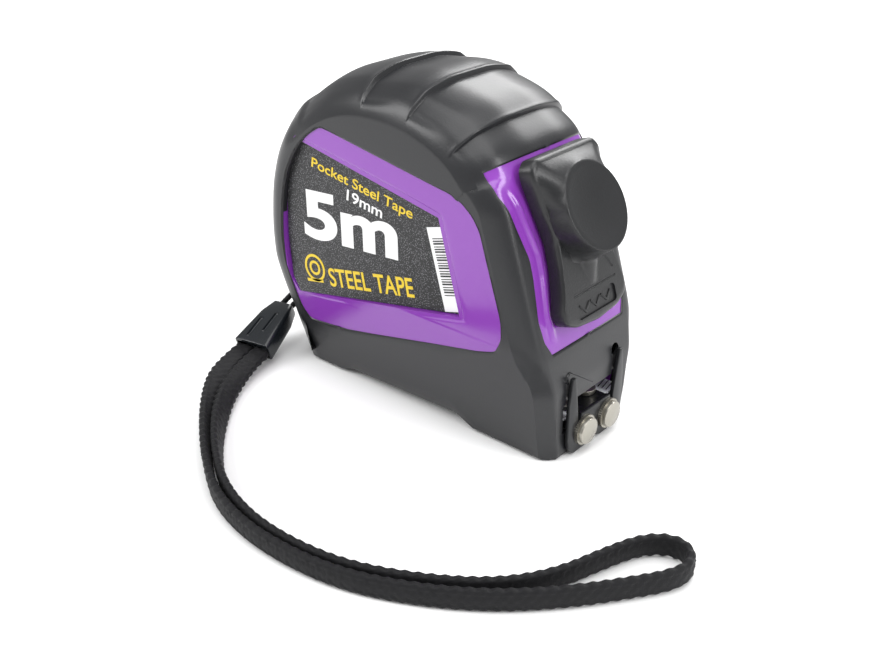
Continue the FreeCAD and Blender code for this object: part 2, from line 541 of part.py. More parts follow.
ring = Part.Wire([Part.makeCircle(LANYARD_R, lanyard[0], lanyard[1] - lanyard[0])])
save("lanyard_cord", path.makePipeShell([ring], True, True))

# ---- wrist strap: one band, both ends in the clip, laid on the table; it lies
# flat at the clip, turns on edge, doubles back and turns flat again
STRAP_ROUTE = [  # x, y, z, lean from upright in degrees
    (-45.5, -24.7, 3.1, 84), (-44.0, -30.4, 2.6, 80), (-40.6, -37.0, 2.5, 68),
    (-34.8, -43.5, 2.5, 52), (-27.0, -50.9, 2.5, 31), (-17.2, -58.9, 2.5, 12),
    (-6.0, -65.9, 2.5, 0), (5.6, -69.0, 2.5, 0), (17.8, -69.3, 2.5, 0),
    (30.4, -67.3, 2.5, 0), (42.4, -61.9, 2.5, 0), (53.4, -54.5, 2.5, 0),
    (62.4, -45.3, 2.5, 0), (69.2, -36.2, 2.5, 0), (73.0, -30.6, 2.5, 0),
    (74.0, -26.0, 2.5, 0), (71.6, -22.6, 2.5, 0), (67.6, -22.6, 2.5, 0),
    (63.8, -26.2, 2.5, 0), (61.0, -33.4, 2.5, 0), (58.0, -42.9, 2.5, 0), (52.4, -51.4, 2.5, 0),
    (43.0, -58.6, 2.5, 0), (30.2, -65.1, 2.5, 0), (17.6, -67.3, 2.5, 0),
    (5.6, -66.9, 2.5, 0), (-5.8, -63.6, 2.5, 0), (-16.2, -57.0, 2.5, -12),
    (-25.4, -49.1, 2.5, -31), (-32.4, -41.4, 2.5, -52), (-36.9, -34.2, 2.5, -68),
    (-39.5, -28.9, 2.6, -80), (-40.8, -23.7, 3.1, -84)]


def band_section(centre, ahead, lean):
    """Rectangle of the band across its line, leaning from upright."""
    sideways = ahead.cross(V(0, 0, 1)).normalize()
    upward = sideways.cross(ahead).normalize()
    l = math.radians(lean)
    wide = upward * math.cos(l) + sideways * math.sin(l)
    thin = sideways * math.cos(l) - upward * math.sin(l)
    lowest = 0.5 * (STRAP_W * abs(wide.z) + STRAP_T * abs(thin.z))
    c = V(centre.x, centre.y, max(centre.z, lowest))
    pts = [c + wide * (STRAP_W / 2 * i) + thin * (STRAP_T / 2 * j)
           for i, j in ((-1, -1), (-1, 1), (1, 1), (1, -1))]
    return Part.makePolygon(pts + [pts[0]])


strap = [V(x, y, z) for x, y, z, lean in STRAP_ROUTE]
sections = [band_section(strap[0], strap[1] - strap[0], STRAP_ROUTE[0][3])]
radii = []
for i in range(1, len(strap) - 1):
    start, middle, end, r = arc_at(strap[i - 1], strap[i], strap[i + 1])
    before, after = strap[i] - strap[i - 1], strap[i + 1] - strap[i]
    before.normalize()
    after.normalize()
    lean, lean0, lean1 = STRAP_ROUTE[i][3], STRAP_ROUTE[i - 1][3], STRAP_ROUTE[i + 1][3]
    sections.append(band_section(start, before, lean * 0.75 + lean0 * 0.25))
    sections.append(band_section(middle, before + after, lean))
    sections.append(band_section(end, after, lean * 0.75 + lean1 * 0.25))
    radii.append(r)
sections.append(band_section(strap[-1], strap[-1] - strap[-2], STRAP_ROUTE[-1][3]))
report("strap_band", strap, radii)
save("strap_band", Part.makeLoft(sections, True, True))
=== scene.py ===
import math

import bmesh
import bpy
import numpy as np
from mathutils import Matrix, Vector


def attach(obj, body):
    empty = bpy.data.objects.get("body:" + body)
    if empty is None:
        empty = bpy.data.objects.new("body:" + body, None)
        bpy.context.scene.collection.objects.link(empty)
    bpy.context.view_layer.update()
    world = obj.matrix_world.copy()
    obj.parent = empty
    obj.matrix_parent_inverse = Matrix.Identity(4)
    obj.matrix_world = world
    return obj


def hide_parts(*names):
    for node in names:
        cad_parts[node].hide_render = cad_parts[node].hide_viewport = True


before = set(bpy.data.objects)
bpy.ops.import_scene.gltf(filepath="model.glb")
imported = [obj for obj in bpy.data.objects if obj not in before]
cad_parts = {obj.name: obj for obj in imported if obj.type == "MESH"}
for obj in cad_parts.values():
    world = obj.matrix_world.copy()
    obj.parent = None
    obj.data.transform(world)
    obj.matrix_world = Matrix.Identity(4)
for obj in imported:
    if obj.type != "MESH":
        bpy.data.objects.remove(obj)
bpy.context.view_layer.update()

MM = 0.001


# ---------------------------------------------------------------- camera
# A tape measure seen from above its left front corner, as it stands with the
# hook towards the viewer's right and the wrist strap laid out in front of it.
CAMERA_AT = Vector((139.04, -166.43, 127.11)) * MM
CAMERA_AIM = Vector((-4.37, 0.0, 10.735)) * MM
CAMERA_LENS = 44.39

camera = bpy.data.objects.new("camera", bpy.data.cameras.new("camera"))
camera.data.lens = CAMERA_LENS
camera.data.sensor_width = 36.0
camera.data.clip_start = 0.01
camera.location = CAMERA_AT
camera.rotation_euler = (CAMERA_AIM - CAMERA_AT).to_track_quat("-Z", "Y").to_euler()
bpy.context.collection.objects.link(camera)
bpy.context.scene.camera = camera


# ---------------------------------------------------------------- studio
# A white table and soft light from four large panels: one high on the left,
# one beyond the nose, one behind the case for its upper edge, one overhead.
def light_panel(name, at, aim, size, watts):
    lamp = bpy.data.lights.new(name, "AREA")
    lamp.shape = "RECTANGLE"
    lamp.size, lamp.size_y = size
    lamp.energy = watts
    obj = bpy.data.objects.new(name, lamp)
    obj.location = at
    obj.rotation_euler = (Vector(aim) - Vector(at)).to_track_quat("-Z", "Y").to_euler()
    bpy.context.collection.objects.link(obj)


light_panel("light_left", (-0.30, -0.42, 0.42), (0.0, 0.0, 0.03), (0.40, 0.30), 2.3)
light_panel("light_right", (0.52, 0.02, 0.34), (0.0, 0.0, 0.03), (0.20, 0.45), 2.0)
light_panel("light_back", (-0.10, 0.50, 0.40), (0.0, 0.0, 0.04), (0.50, 0.22), 2.6)
light_panel("light_top", (0.05, -0.05, 0.62), (0.0, 0.0, 0.0), (0.5, 0.5), 2.2)

sky = bpy.data.worlds.new("studio")
sky.use_nodes = True
sky.node_tree.nodes["Background"].inputs["Color"].default_value = (1.0, 1.0, 1.0, 1.0)
sky.node_tree.nodes["Background"].inputs["Strength"].default_value = 0.50
bpy.context.scene.world = sky
bpy.context.scene.view_settings.view_transform = "Standard"


def shader(name, colour, roughness, metallic=0.0, **sockets):
    """A Principled material; returns it, its nodes, its links and the shader."""
    mat = bpy.data.materials.new(name)
    mat.use_nodes = True
    tree = mat.node_tree
    bsdf = tree.nodes["Principled BSDF"]
    bsdf.inputs["Base Color"].default_value = (*colour, 1.0)
    bsdf.inputs["Roughness"].default_value = roughness
    bsdf.inputs["Metallic"].default_value = metallic
    for socket, value in sockets.items():
        bsdf.inputs[socket.replace("_", " ")].default_value = value
    return mat, tree, bsdf


table_paint, tree, bsdf = shader("table_paint", (0.93, 0.93, 0.93), 0.9)
bm = bmesh.new()
bmesh.ops.create_grid(bm, x_segments=1, y_segments=1, size=4.0)
table = bpy.data.objects.new("table", bpy.data.meshes.new("table"))
bm.to_mesh(table.data)
bm.free()
table.data.materials.append(table_paint)
bpy.context.collection.objects.link(table)


# ---------------------------------------------------------------- wrist strap
# One length of flat black polyester braid, 4.7 mm wide. Both ends are moulded
# into the clip; it leaves it lying flat, turns on edge and doubles back.
STRAP_WIDTH, STRAP_THICK = 4.7, 1.7
STRAP_ROUTE = [  # x, y, z, lean of the band from upright in degrees
    (-45.5, -24.7, 3.1, 84), (-44.0, -30.4, 2.6, 80), (-40.6, -37.0, 2.5, 68),
    (-34.8, -43.5, 2.5, 52), (-27.0, -50.9, 2.5, 31), (-17.2, -58.9, 2.5, 12),
    (-6.0, -65.9, 2.5, 0), (5.6, -69.0, 2.5, 0), (17.8, -69.3, 2.5, 0),
    (30.4, -67.3, 2.5, 0), (42.4, -61.9, 2.5, 0), (53.4, -54.5, 2.5, 0),
    (62.4, -45.3, 2.5, 0), (69.2, -36.2, 2.5, 0), (73.0, -30.6, 2.5, 0),
    (74.0, -26.0, 2.5, 0), (71.6, -22.6, 2.5, 0), (67.6, -22.6, 2.5, 0),
    (63.8, -26.2, 2.5, 0), (61.0, -33.4, 2.5, 0), (58.0, -42.9, 2.5, 0), (52.4, -51.4, 2.5, 0),
    (43.0, -58.6, 2.5, 0), (30.2, -65.1, 2.5, 0), (17.6, -67.3, 2.5, 0),
    (5.6, -66.9, 2.5, 0), (-5.8, -63.6, 2.5, 0), (-16.2, -57.0, 2.5, -12),
    (-25.4, -49.1, 2.5, -31), (-32.4, -41.4, 2.5, -52), (-36.9, -34.2, 2.5, -68),
    (-39.5, -28.9, 2.6, -80), (-40.8, -23.7, 3.1, -84)]
STITCH_PITCH, STITCH_COLUMNS, STITCH_PROUD = 2.3, 4, 0.52
STRAP_ROUND = 36        # mesh points round the band
STRAP_STEP = 0.28       # and their spacing along it


def drawn(curve):
    """The shape that a curve or a text draws; the curve itself is removed."""
    obj = bpy.data.objects.new("drawn", curve)
    mesh = bpy.data.meshes.new_from_object(obj)
    bm = bmesh.new()
    bm.from_mesh(mesh)
    bpy.data.objects.remove(obj)
    bpy.data.curves.remove(curve)
    bpy.data.meshes.remove(mesh)
    return bm


def points_along(route, parts=24):
    """Points of the smooth line whose control points are route, parts to each span."""
    curve = bpy.data.curves.new("route", "CURVE")
    curve.dimensions = "3D"
    line = curve.splines.new("NURBS")
    line.points.add(len(route) - 1)
    for point, place in zip(line.points, route):
        point.co = (*place, 1.0)
    line.order_u = 3
    line.use_endpoint_u = True
    line.resolution_u = parts
    shape = drawn(curve)
    return [v.co.copy() for v in shape.verts]


def evenly(points, values, step):
    """Points and values taken again at an even spacing along the line."""
    gaps = [0.0] + [(b - a).length for a, b in zip(points, points[1:])]
    along = np.cumsum(gaps)
    count = int(along[-1] / step) + 1
    at = np.linspace(0.0, along[-1], count)
    places = np.stack([np.interp(at, along, [p[i] for p in points]) for i in range(3)], 1)
    return places, np.interp(at, along, values), along[-1]


def piece(name, bm, body, material, replaced=(), smooth=35.0):
    """Makes the shape, drawn in millimetres, an object that rides on body."""
    bmesh.ops.scale(bm, vec=(MM, MM, MM), verts=bm.verts)
    mesh = bpy.data.meshes.new(name)
    bm.to_mesh(mesh)
    bm.free()
    mesh.materials.append(material)
    mesh.shade_smooth()
    if smooth < 180.0:
        mesh.set_sharp_from_angle(angle=math.radians(smooth))
    obj = bpy.data.objects.new(name, mesh)
    bpy.context.collection.objects.link(obj)
    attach(obj, body)
    if replaced:
        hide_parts(*replaced)
    return obj


def effect(name, inputs, outputs):
    """An empty shader group with named sockets; returns its tree and both ends."""
    tree = bpy.data.node_groups.new(name, "ShaderNodeTree")
    for label, value in inputs.items():
        socket = tree.interface.new_socket(label, in_out="INPUT", socket_type="NodeSocketFloat")
        socket.default_value = value
    for label, kind in outputs.items():
        tree.interface.new_socket(label, in_out="OUTPUT", socket_type=kind)
    return tree, tree.nodes.new("NodeGroupInput"), tree.nodes.new("NodeGroupOutput")


def node(tree, kind, links=(), **settings):
    """Adds a node, sets what is named, and joins (socket, source) pairs."""
    made = tree.nodes.new(kind)
    for key, value in settings.items():
        setattr(made, key, value)
    for socket, source in links:
        if hasattr(source, "is_output"):
            tree.links.new(source, made.inputs[socket])
        else:
            made.inputs[socket].default_value = source
    return made


def maths(tree, operation, *values):
    """What a maths node makes of those values or sockets."""
    return node(tree, "ShaderNodeMath", enumerate(values), operation=operation).outputs[0]


def blend(tree, share, first, second):
    """The colour between first and second at that share."""
    mix = node(tree, "ShaderNodeMix", [(0, share)], data_type="RGBA")
    mix.inputs["A"].default_value = (*first, 1.0)
    mix.inputs["B"].default_value = (*second, 1.0)
    return mix.outputs["Result"]


# Fine grain: two sizes of noise that give a surface its tooth and its patches.
grain, g_in, g_out = effect(
    "fine_grain", {"Scale": 4000.0, "Patch Scale": 60.0, "Dull": 0.3, "Vary": 0.1},
    {"Height": "NodeSocketFloat", "Roughness": "NodeSocketFloat", "Mask": "NodeSocketFloat"})
place = node(grain, "ShaderNodeTexCoord")
fine = node(grain, "ShaderNodeTexNoise",
            [("Vector", place.outputs["Object"]), ("Scale", g_in.outputs["Scale"]), ("Detail", 3.0)])
patch = node(grain, "ShaderNodeTexNoise",
             [("Vector", place.outputs["Object"]), ("Scale", g_in.outputs["Patch Scale"]), ("Detail", 4.0)])
spread = maths(grain, "MULTIPLY", maths(grain, "SUBTRACT", patch.outputs["Fac"], 0.5), g_in.outputs["Vary"])
dull = maths(grain, "ADD", spread, g_in.outputs["Dull"])
grain.links.new(fine.outputs["Fac"], g_out.inputs["Height"])
grain.links.new(dull, g_out.inputs["Roughness"])
grain.links.new(patch.outputs["Fac"], g_out.inputs["Mask"])


def grained(name, colour, light, scale, dull, vary, tooth, patches=60.0, metallic=0.0, **sockets):
    """A material whose colour drifts from colour to light, with grain of that tooth."""
    mat, tree, bsdf = shader(name, colour, dull, metallic, **sockets)
    g = node(tree, "ShaderNodeGroup", node_tree=grain)
    for socket, value in (("Scale", scale), ("Patch Scale", patches), ("Dull", dull), ("Vary", vary)):
        g.inputs[socket].default_value = value
    drift = blend(tree, g.outputs["Mask"], colour, light)
    bump = node(tree, "ShaderNodeBump",
                [("Height", g.outputs["Height"]), ("Strength", tooth), ("Distance", 0.0001)])
    tree.links.new(drift, bsdf.inputs["Base Color"])
    tree.links.new(g.outputs["Roughness"], bsdf.inputs["Roughness"])
    tree.links.new(bump.outputs["Normal"], bsdf.inputs["Normal"])
    return mat


def strap_form(along, u, side):
    """How far the stitch at along, u across (-1..1) stands out of the band."""
    column = min(STITCH_COLUMNS - 1, int((u + 1.0) * STITCH_COLUMNS / 2.0))
    local = (u + 1.0) * STITCH_COLUMNS / 2.0 - column - 0.5
    slant = 0.55 if (column % 2 == 0) == (side > 0) else -0.55
    phase = (along / STITCH_PITCH + 0.5 * (column % 2) + slant * local) % 1.0
    pillow = max(0.0, 1.0 - (2.0 * phase - 1.0) ** 2) ** 0.5
    return STITCH_PROUD * (pillow * max(0.0, 1.0 - (2.0 * local) ** 2 * 0.85) ** 0.5 - 0.55)


def strap_mesh(places, leans):
    """A round-edged band swept along places, with woven stitches on its faces."""
    bm = bmesh.new()
    bmesh.ops.create_grid(bm, x_segments=len(places) - 1, y_segments=STRAP_ROUND, size=0.5)
    bm.verts.ensure_lookup_table()
    rows = len(places)
    half_w, half_t = STRAP_WIDTH / 2.0 - 0.18, STRAP_THICK / 2.0 - 0.16
    for v in bm.verts:
        i = round((v.co.x + 0.5) * (rows - 1))
        a = 2.0 * math.pi * (v.co.y + 0.5)
        here = Vector(places[i])
        ahead = Vector(places[min(i + 1, rows - 1)]) - Vector(places[max(i - 1, 0)])
        ahead.normalize()
        flat = ahead.cross(Vector((0, 0, 1))).normalized()
        up = flat.cross(ahead)
        lean = math.radians(leans[i])
        wide = up * math.cos(lean) + flat * math.sin(lean)
        thin = flat * math.cos(lean) - up * math.sin(lean)
        c, s = math.cos(a), math.sin(a)
        u = math.copysign(abs(c) ** 0.75, c)
        w = math.copysign(abs(s) ** 0.45, s)
        edge = 1.0 - abs(u) ** 6
        proud = strap_form(i * STRAP_STEP, u, s) * edge
        rim = 0.22 * math.cos(2.0 * math.pi * i * STRAP_STEP / STITCH_PITCH) * abs(u) ** 8
        place = here + wide * (half_w + rim) * u + thin * (half_t * w + math.copysign(proud, s))
        v.co = (place.x, place.y, max(place.z, 0.05))
    bmesh.ops.remove_doubles(bm, verts=bm.verts, dist=0.004)
    ends = [e for e in bm.edges if e.is_boundary]
    bmesh.ops.holes_fill(bm, edges=ends, sides=0)
    bmesh.ops.recalc_face_normals(bm, faces=bm.faces)
    return bm


braid_black = grained("braid_black", (0.0035, 0.0035, 0.004), (0.012, 0.012, 0.014), 3800.0, 0.62, 0.25, 0.7,
                      patches=900.0, Sheen_Weight=0.03, Sheen_Roughness=0.5, Specular_IOR_Level=0.22)
strap_line = points_along([p[:3] for p in STRAP_ROUTE])
strap_lean = [p.x for p in points_along([(row[3] if i < len(STRAP_ROUTE) / 2 else -row[3], 0.0, 0.0)
                                         for i, row in enumerate(STRAP_ROUTE)])]
half = len(strap_lean) // 2
strap_lean = [l if i < half else -l for i, l in enumerate(strap_lean)]
places, leans, strap_length = evenly(strap_line, strap_lean, STRAP_STEP)
turns = [math.radians(l) for l in leans]
lift = [0.5 * (STRAP_WIDTH * math.cos(t) + STRAP_THICK * abs(math.sin(t))) for t in turns]
places[:, 2] = np.maximum(places[:, 2], lift)
strap = piece("strap_braid", strap_mesh(places, leans), "case", braid_black,
              ["strap_band"], 180.0)


# ---------------------------------------------------------------- thin cord
# A 1.4 mm braided polyester cord, tied round the steel pin at the back of the
# case; both of its strands are moulded into the narrow end of the clip.
CORD_RADIUS = 0.7
CLIP_TOP, CLIP_END = Vector((-45.9, -11.4, 8.4)), Vector((-43.2, -24.2, 3.2))
CLIP_ALONG = (CLIP_END - CLIP_TOP).normalized()
CLIP_ACROSS = CLIP_ALONG.cross(Vector((0, 0, 1))).normalized()
CLIP_ABOVE = CLIP_ACROSS.cross(CLIP_ALONG)
PIN_AT = Vector((-39.2, 0.0, 14.0))
PIN_TURN = 1.85         # the cord's centre line round the pin
STRAND = [(CLIP_TOP + CLIP_ALONG * 0.2, 1.0),   # place, half the gap between the strands
          (CLIP_TOP - CLIP_ALONG * 3.5 + Vector((0.8, 0.0, 0.6)), 0.95), (Vector((-44.6, -4.2, 12.4)), 0.85)]
LOOP_TURN = 62.0        # degrees each way of the loop's middle
CORD_TWIST = 1.9        # pitch of the braid's ridges
CORD_STEP = 0.14
CORD_ROUND = 20


def cord_route():
    """Up one strand, round the pin and back down the other."""
    below = [p - CLIP_ACROSS * a - Vector((0, 0, 0.5 * a)) for p, a in STRAND]
    above = [p + CLIP_ACROSS * a + Vector((0, 0, 0.5 * a)) for p, a in STRAND]
    far = PIN_TURN / math.cos(math.radians(0.5 * LOOP_TURN))
    turn = [PIN_AT + far * Vector((math.cos(a), 0.0, math.sin(a)))
            for a in (math.radians(-LOOP_TURN), 0.0, math.radians(LOOP_TURN))]
    return (below + [PIN_AT + Vector((-2.2, -0.8, -PIN_TURN))] + turn
            + [PIN_AT + Vector((-2.2, -0.4, PIN_TURN))] + above[::-1])


def cord_mesh(places):
    """A round cord swept along places, with the braid's crossing ridges."""
    bm = bmesh.new()
    rows = len(places)
    bmesh.ops.create_grid(bm, x_segments=rows - 1, y_segments=CORD_ROUND, size=0.5)
    across = Vector((1, 0, 0))
    frames = []
    for i in range(rows):
        ahead = Vector(places[min(i + 1, rows - 1)]) - Vector(places[max(i - 1, 0)])
        ahead.normalize()
        across = (across - ahead * across.dot(ahead)).normalized()
        frames.append((Vector(places[i]), across.copy(), ahead.cross(across)))
    for v in bm.verts:
        here, side, up = frames[round((v.co.x + 0.5) * (rows - 1))]
        a = 2.0 * math.pi * (v.co.y + 0.5)
        run = round((v.co.x + 0.5) * (rows - 1)) * CORD_STEP * 2.0 * math.pi / CORD_TWIST
        ridge = max(math.sin(2.0 * a + run), math.sin(2.0 * a - run))
        r = CORD_RADIUS * (0.9 + 0.1 * ridge)
        v.co = here + side * (r * math.cos(a)) + up * (r * math.sin(a))
    bmesh.ops.remove_doubles(bm, verts=bm.verts, dist=0.002)
    bmesh.ops.holes_fill(bm, edges=[e for e in bm.edges if e.is_boundary], sides=0)
    bmesh.ops.recalc_face_normals(bm, faces=bm.faces)
    return bm


cord_line = points_along(cord_route())
cord_places, _, cord_length = evenly(cord_line, [0.0] * len(cord_line), CORD_STEP)
thin_cord = piece("lanyard_braid", cord_mesh(cord_places), "case", braid_black,
                  ["lanyard_cord"], 180.0)


# ---------------------------------------------------------------- strap clip
# A glossy black moulded ferrule that grips cord and strap: tapered towards
# the cord, with rounded edges and two grooves on its upper face.
CLIP_SECTIONS = [(0.0, 2.7, 1.9), (4.0, 3.8, 2.3), (None, 4.8, 2.5)]   # along, half width, half height
CLIP_GROOVES = [(-1.0, 4.2, 9.6), (1.9, 6.6, 12.0)]                    # across, from, to


def joined(bm, other):
    """Adds the other shape's faces to bm."""
    mesh = bpy.data.meshes.new("joined")
    other.to_mesh(mesh)
    other.free()
    bm.from_mesh(mesh)
    bpy.data.meshes.remove(mesh)
    return bm


def carved(solid, tools, crossing=False):
    """The closed shape solid with each of the closed tools taken from it."""
    objs = []
    for bm in [solid] + tools:
        mesh = bpy.data.meshes.new("carved")
        bmesh.ops.recalc_face_normals(bm, faces=bm.faces)
        bm.to_mesh(mesh)
        bm.free()
        obj = bpy.data.objects.new("carved", mesh)
        bpy.context.collection.objects.link(obj)
        objs.append(obj)
    for tool in objs[1:]:
        cut = objs[0].modifiers.new("cut", "BOOLEAN")
        cut.operation = "DIFFERENCE"
        cut.use_self = crossing
        cut.solver = "EXACT"
        cut.object = tool
    graph = bpy.context.evaluated_depsgraph_get()
    result = bpy.data.meshes.new_from_object(objs[0].evaluated_get(graph))
    bm = bmesh.new()
    bm.from_mesh(result)
    bpy.data.meshes.remove(result)
    for obj in objs:
        mesh = obj.data
        bpy.data.objects.remove(obj)
        bpy.data.meshes.remove(mesh)
    return bm


def rounded(bm, edges, radius, segments=3):
    bmesh.ops.bevel(bm, geom=edges, offset=radius, segments=segments, profile=0.5, affect="EDGES",
                    material=-1)


def capsule(a, b, radius, squash=1.0):
    """A round bar from a to b with domed ends, flattened in Z by squash."""
    bm = bmesh.new()
    bmesh.ops.create_uvsphere(bm, u_segments=24, v_segments=12, radius=radius)
    run = Vector(b) - Vector(a)
    for v in bm.verts:
        v.co.z *= squash
    turn = run.normalized().to_track_quat("X", "Z").to_matrix()
    for v in bm.verts:
        end = Vector(b) if v.co.x > 1e-6 else Vector(a)
        v.co = turn @ v.co + end
    return bm


def clip_mesh():
    """The ferrule, drawn along X and then laid between cord and strap."""
    length = (CLIP_END - CLIP_TOP).length
    bm = bmesh.new()
    loops = []
    for along, wide, high in CLIP_SECTIONS:
        along = length if along is None else along
        loops.append([bm.verts.new((along, i * wide, j * high))
                      for i, j in ((-1, -1), (1, -1), (1, 1), (-1, 1))])
    for a, b in zip(loops, loops[1:]):
        for k in range(4):
            bm.faces.new((a[k], a[(k + 1) % 4], b[(k + 1) % 4], b[k]))
    bm.faces.new(loops[0])
    bm.faces.new(loops[-1])
    bmesh.ops.recalc_face_normals(bm, faces=bm.faces)
    long_edges = [e for e in bm.edges if abs(e.verts[0].co.x - e.verts[1].co.x) > 0.5]
    rounded(bm, long_edges, 0.9, 4)
    rounded(bm, [e for e in bm.edges if len(e.link_faces) == 2 and e.calc_face_angle(0.0) > 0.9], 0.25, 2)
    top = CLIP_SECTIONS[1][2]
    grooves = [capsule((a, y, top + 0.15), (b, y, top + 0.25), 0.55) for y, a, b in CLIP_GROOVES]
    socket = bmesh.new()
    bmesh.ops.create_cube(socket, size=1.0)
    bmesh.ops.scale(socket, vec=(3.0, 2 * CLIP_SECTIONS[2][1] - 1.2, 2 * CLIP_SECTIONS[2][2] - 1.4),
                    verts=socket.verts)
    bmesh.ops.translate(socket, vec=(length, 0.0, 0.0), verts=socket.verts)
    bm = carved(bm, grooves + [socket])
    turn = Matrix((CLIP_ALONG, CLIP_ACROSS, CLIP_ABOVE)).transposed().to_4x4()
    bmesh.ops.transform(bm, matrix=Matrix.Translation(CLIP_TOP) @ turn, verts=bm.verts)
    return bm


gloss_black = grained("gloss_black", (0.006, 0.008, 0.010), (0.012, 0.015, 0.019), 900.0, 0.24, 0.12, 0.05)
piece("strap_ferrule", clip_mesh(), "case", gloss_black, ["strap_clip"], 30.0)


# ---------------------------------------------------------------- rubber jacket
# Graphite rubber moulded 1.8 mm thick over each half of the case. Its crown is
# a row of overlapping plates; flank and front are left open for the shell.
OUTLINE_TOP = [(-41.6, 9.0), (-44.2, 18.5), (-45.5, 28.0), (-45.1, 38.5), (-43.3, 47.5), (-39.7, 55.5),
               (-34.1, 62.4), (-26.7, 67.6), (-18.2, 71.1), (-9.0, 72.5), (0.0, 72.1), (7.6, 70.1),
               (14.4, 66.7), (19.4, 62.6), (22.6, 58.0)]
SLOPE_FOOT, NOSE_SHOULDER, NOSE_FOOT, HEEL = (33.8, 23.3), (35.2, 16.0), (35.2, 0.0), (-39.45, 0.0)
HALF_WIDTH, CROWN_FLAT, CROWN_DROP = 18.5, 4.0, 8.0
SKIRT_HALF, SKIRT_FULL_AT = 14.0, 26.0
JACKET_THICK = 1.8
LINE_STEP, ROW_STEP = 0.2, 0.9
PLATE_EDGES = [-11.4, 2.4, 15.4]    # x of each crown plate's front edge
PLATE_STEP, PLATE_REACH = 0.85, 12.5
SHOULDER_AT, SHOULDER_DROP = 0.62, 0.19     # crown plates: share of the half width and of the drop
CHAMFER_AT, CHAMFER_DEEP = 0.74, 0.35      # nose: where its chamfer starts, and its share of the drop
ARCH = [(-26.6, 0.0), (-20.4, 2.0), (10.4, 2.8), (17.0, 0.0)]
ARCH_IN = 8.0
IN_COLUMNS, OUT_COLUMNS = 13, 20
FLANK_HUB = (-6.0, 33.0)
FLANK_RINGS = [0.10, 0.22, 0.36, 0.5, 0.64, 0.78, 0.9, 1.0]
WINDOW_BAND = 1.1           # least rubber between a side window and the flank's rim
LIP = 0.45                  # rounding of the rubber at its windows
SIDE_WINDOW = [(-25.1, 60.0), (-32.0, 54.2), (-35.6, 48.3), (-38.2, 40.4), (-38.5, 31.6), (-36.9, 22.7),
               (-35.7, 16.6), (-31.7, 12.0), (-19.2, 13.4), (-11.0, 15.2), (5.5, 19.1), (18.8, 22.1),
               (23.6, 23.7), (25.2, 26.9), (25.2, 30.3), (23.5, 38.8), (22.2, 42.5), (20.2, 47.3),
               (17.7, 50.6), (15.0, 52.6), (11.8, 53.7), (8.3, 54.2)]
FRONT_WINDOW = [(15.6, -2.5), (15.8, 3.0), (14.2, 10.0), (12.6, 16.0), (12.8, 20.0), (14.0, 28.0),
                (13.6, 32.5), (12.2, 35.4)]
SLOPE_TOP = np.array(OUTLINE_TOP[-1])
SLOPE_DOWN = (np.array(SLOPE_FOOT) - SLOPE_TOP) / math.dist(SLOPE_FOOT, OUTLINE_TOP[-1])
SLOPE_OUT = np.array((-SLOPE_DOWN[1], SLOPE_DOWN[0]))
HEAD_HOLES = [(-33.2, 9.0), (-30.8, 54.6), (9.5, 59.0), (27.6, 17.2)]


def smooth_through(points, step):
    """Closely spaced points of the smooth line through points."""
    line = bpy.data.curves.new("line", "CURVE")
    line.dimensions = "3D"
    spline = line.splines.new("BEZIER")
    spline.bezier_points.add(len(points) - 1)
    for at, (x, z) in zip(spline.bezier_points, points):
        at.co = (x, 0.0, z)
        at.handle_left_type = at.handle_right_type = "AUTO"
    spline.resolution_u = int(9.0 / step)
    shape = drawn(line)
    return [(v.co.x, v.co.z) for v in shape.verts]


def along_line(points, step):
    """Points of the straight-sided line, about step apart."""
    out = []
    for a, b in zip(points, points[1:]):
        count = max(1, round(math.dist(a, b) / step))
        out += [tuple(np.array(a) + (np.array(b) - np.array(a)) * k / count) for k in range(count)]
    return out + [points[-1]]


def softened(points, passes):
    """A closed line with its corners rounded by averaging."""
    p = np.array(points)
    for _ in range(passes):
        p = 0.25 * np.roll(p, 1, axis=0) + 0.5 * p + 0.25 * np.roll(p, -1, axis=0)
    return p


def eased(x):
    x = min(1.0, max(0.0, x))
    return x * x * (3.0 - 2.0 * x)


def down_slope(x, z):
    """Distance below the top of the front slope."""
    return (x - SLOPE_TOP[0]) * SLOPE_DOWN[0] + (z - SLOPE_TOP[1]) * SLOPE_DOWN[1]


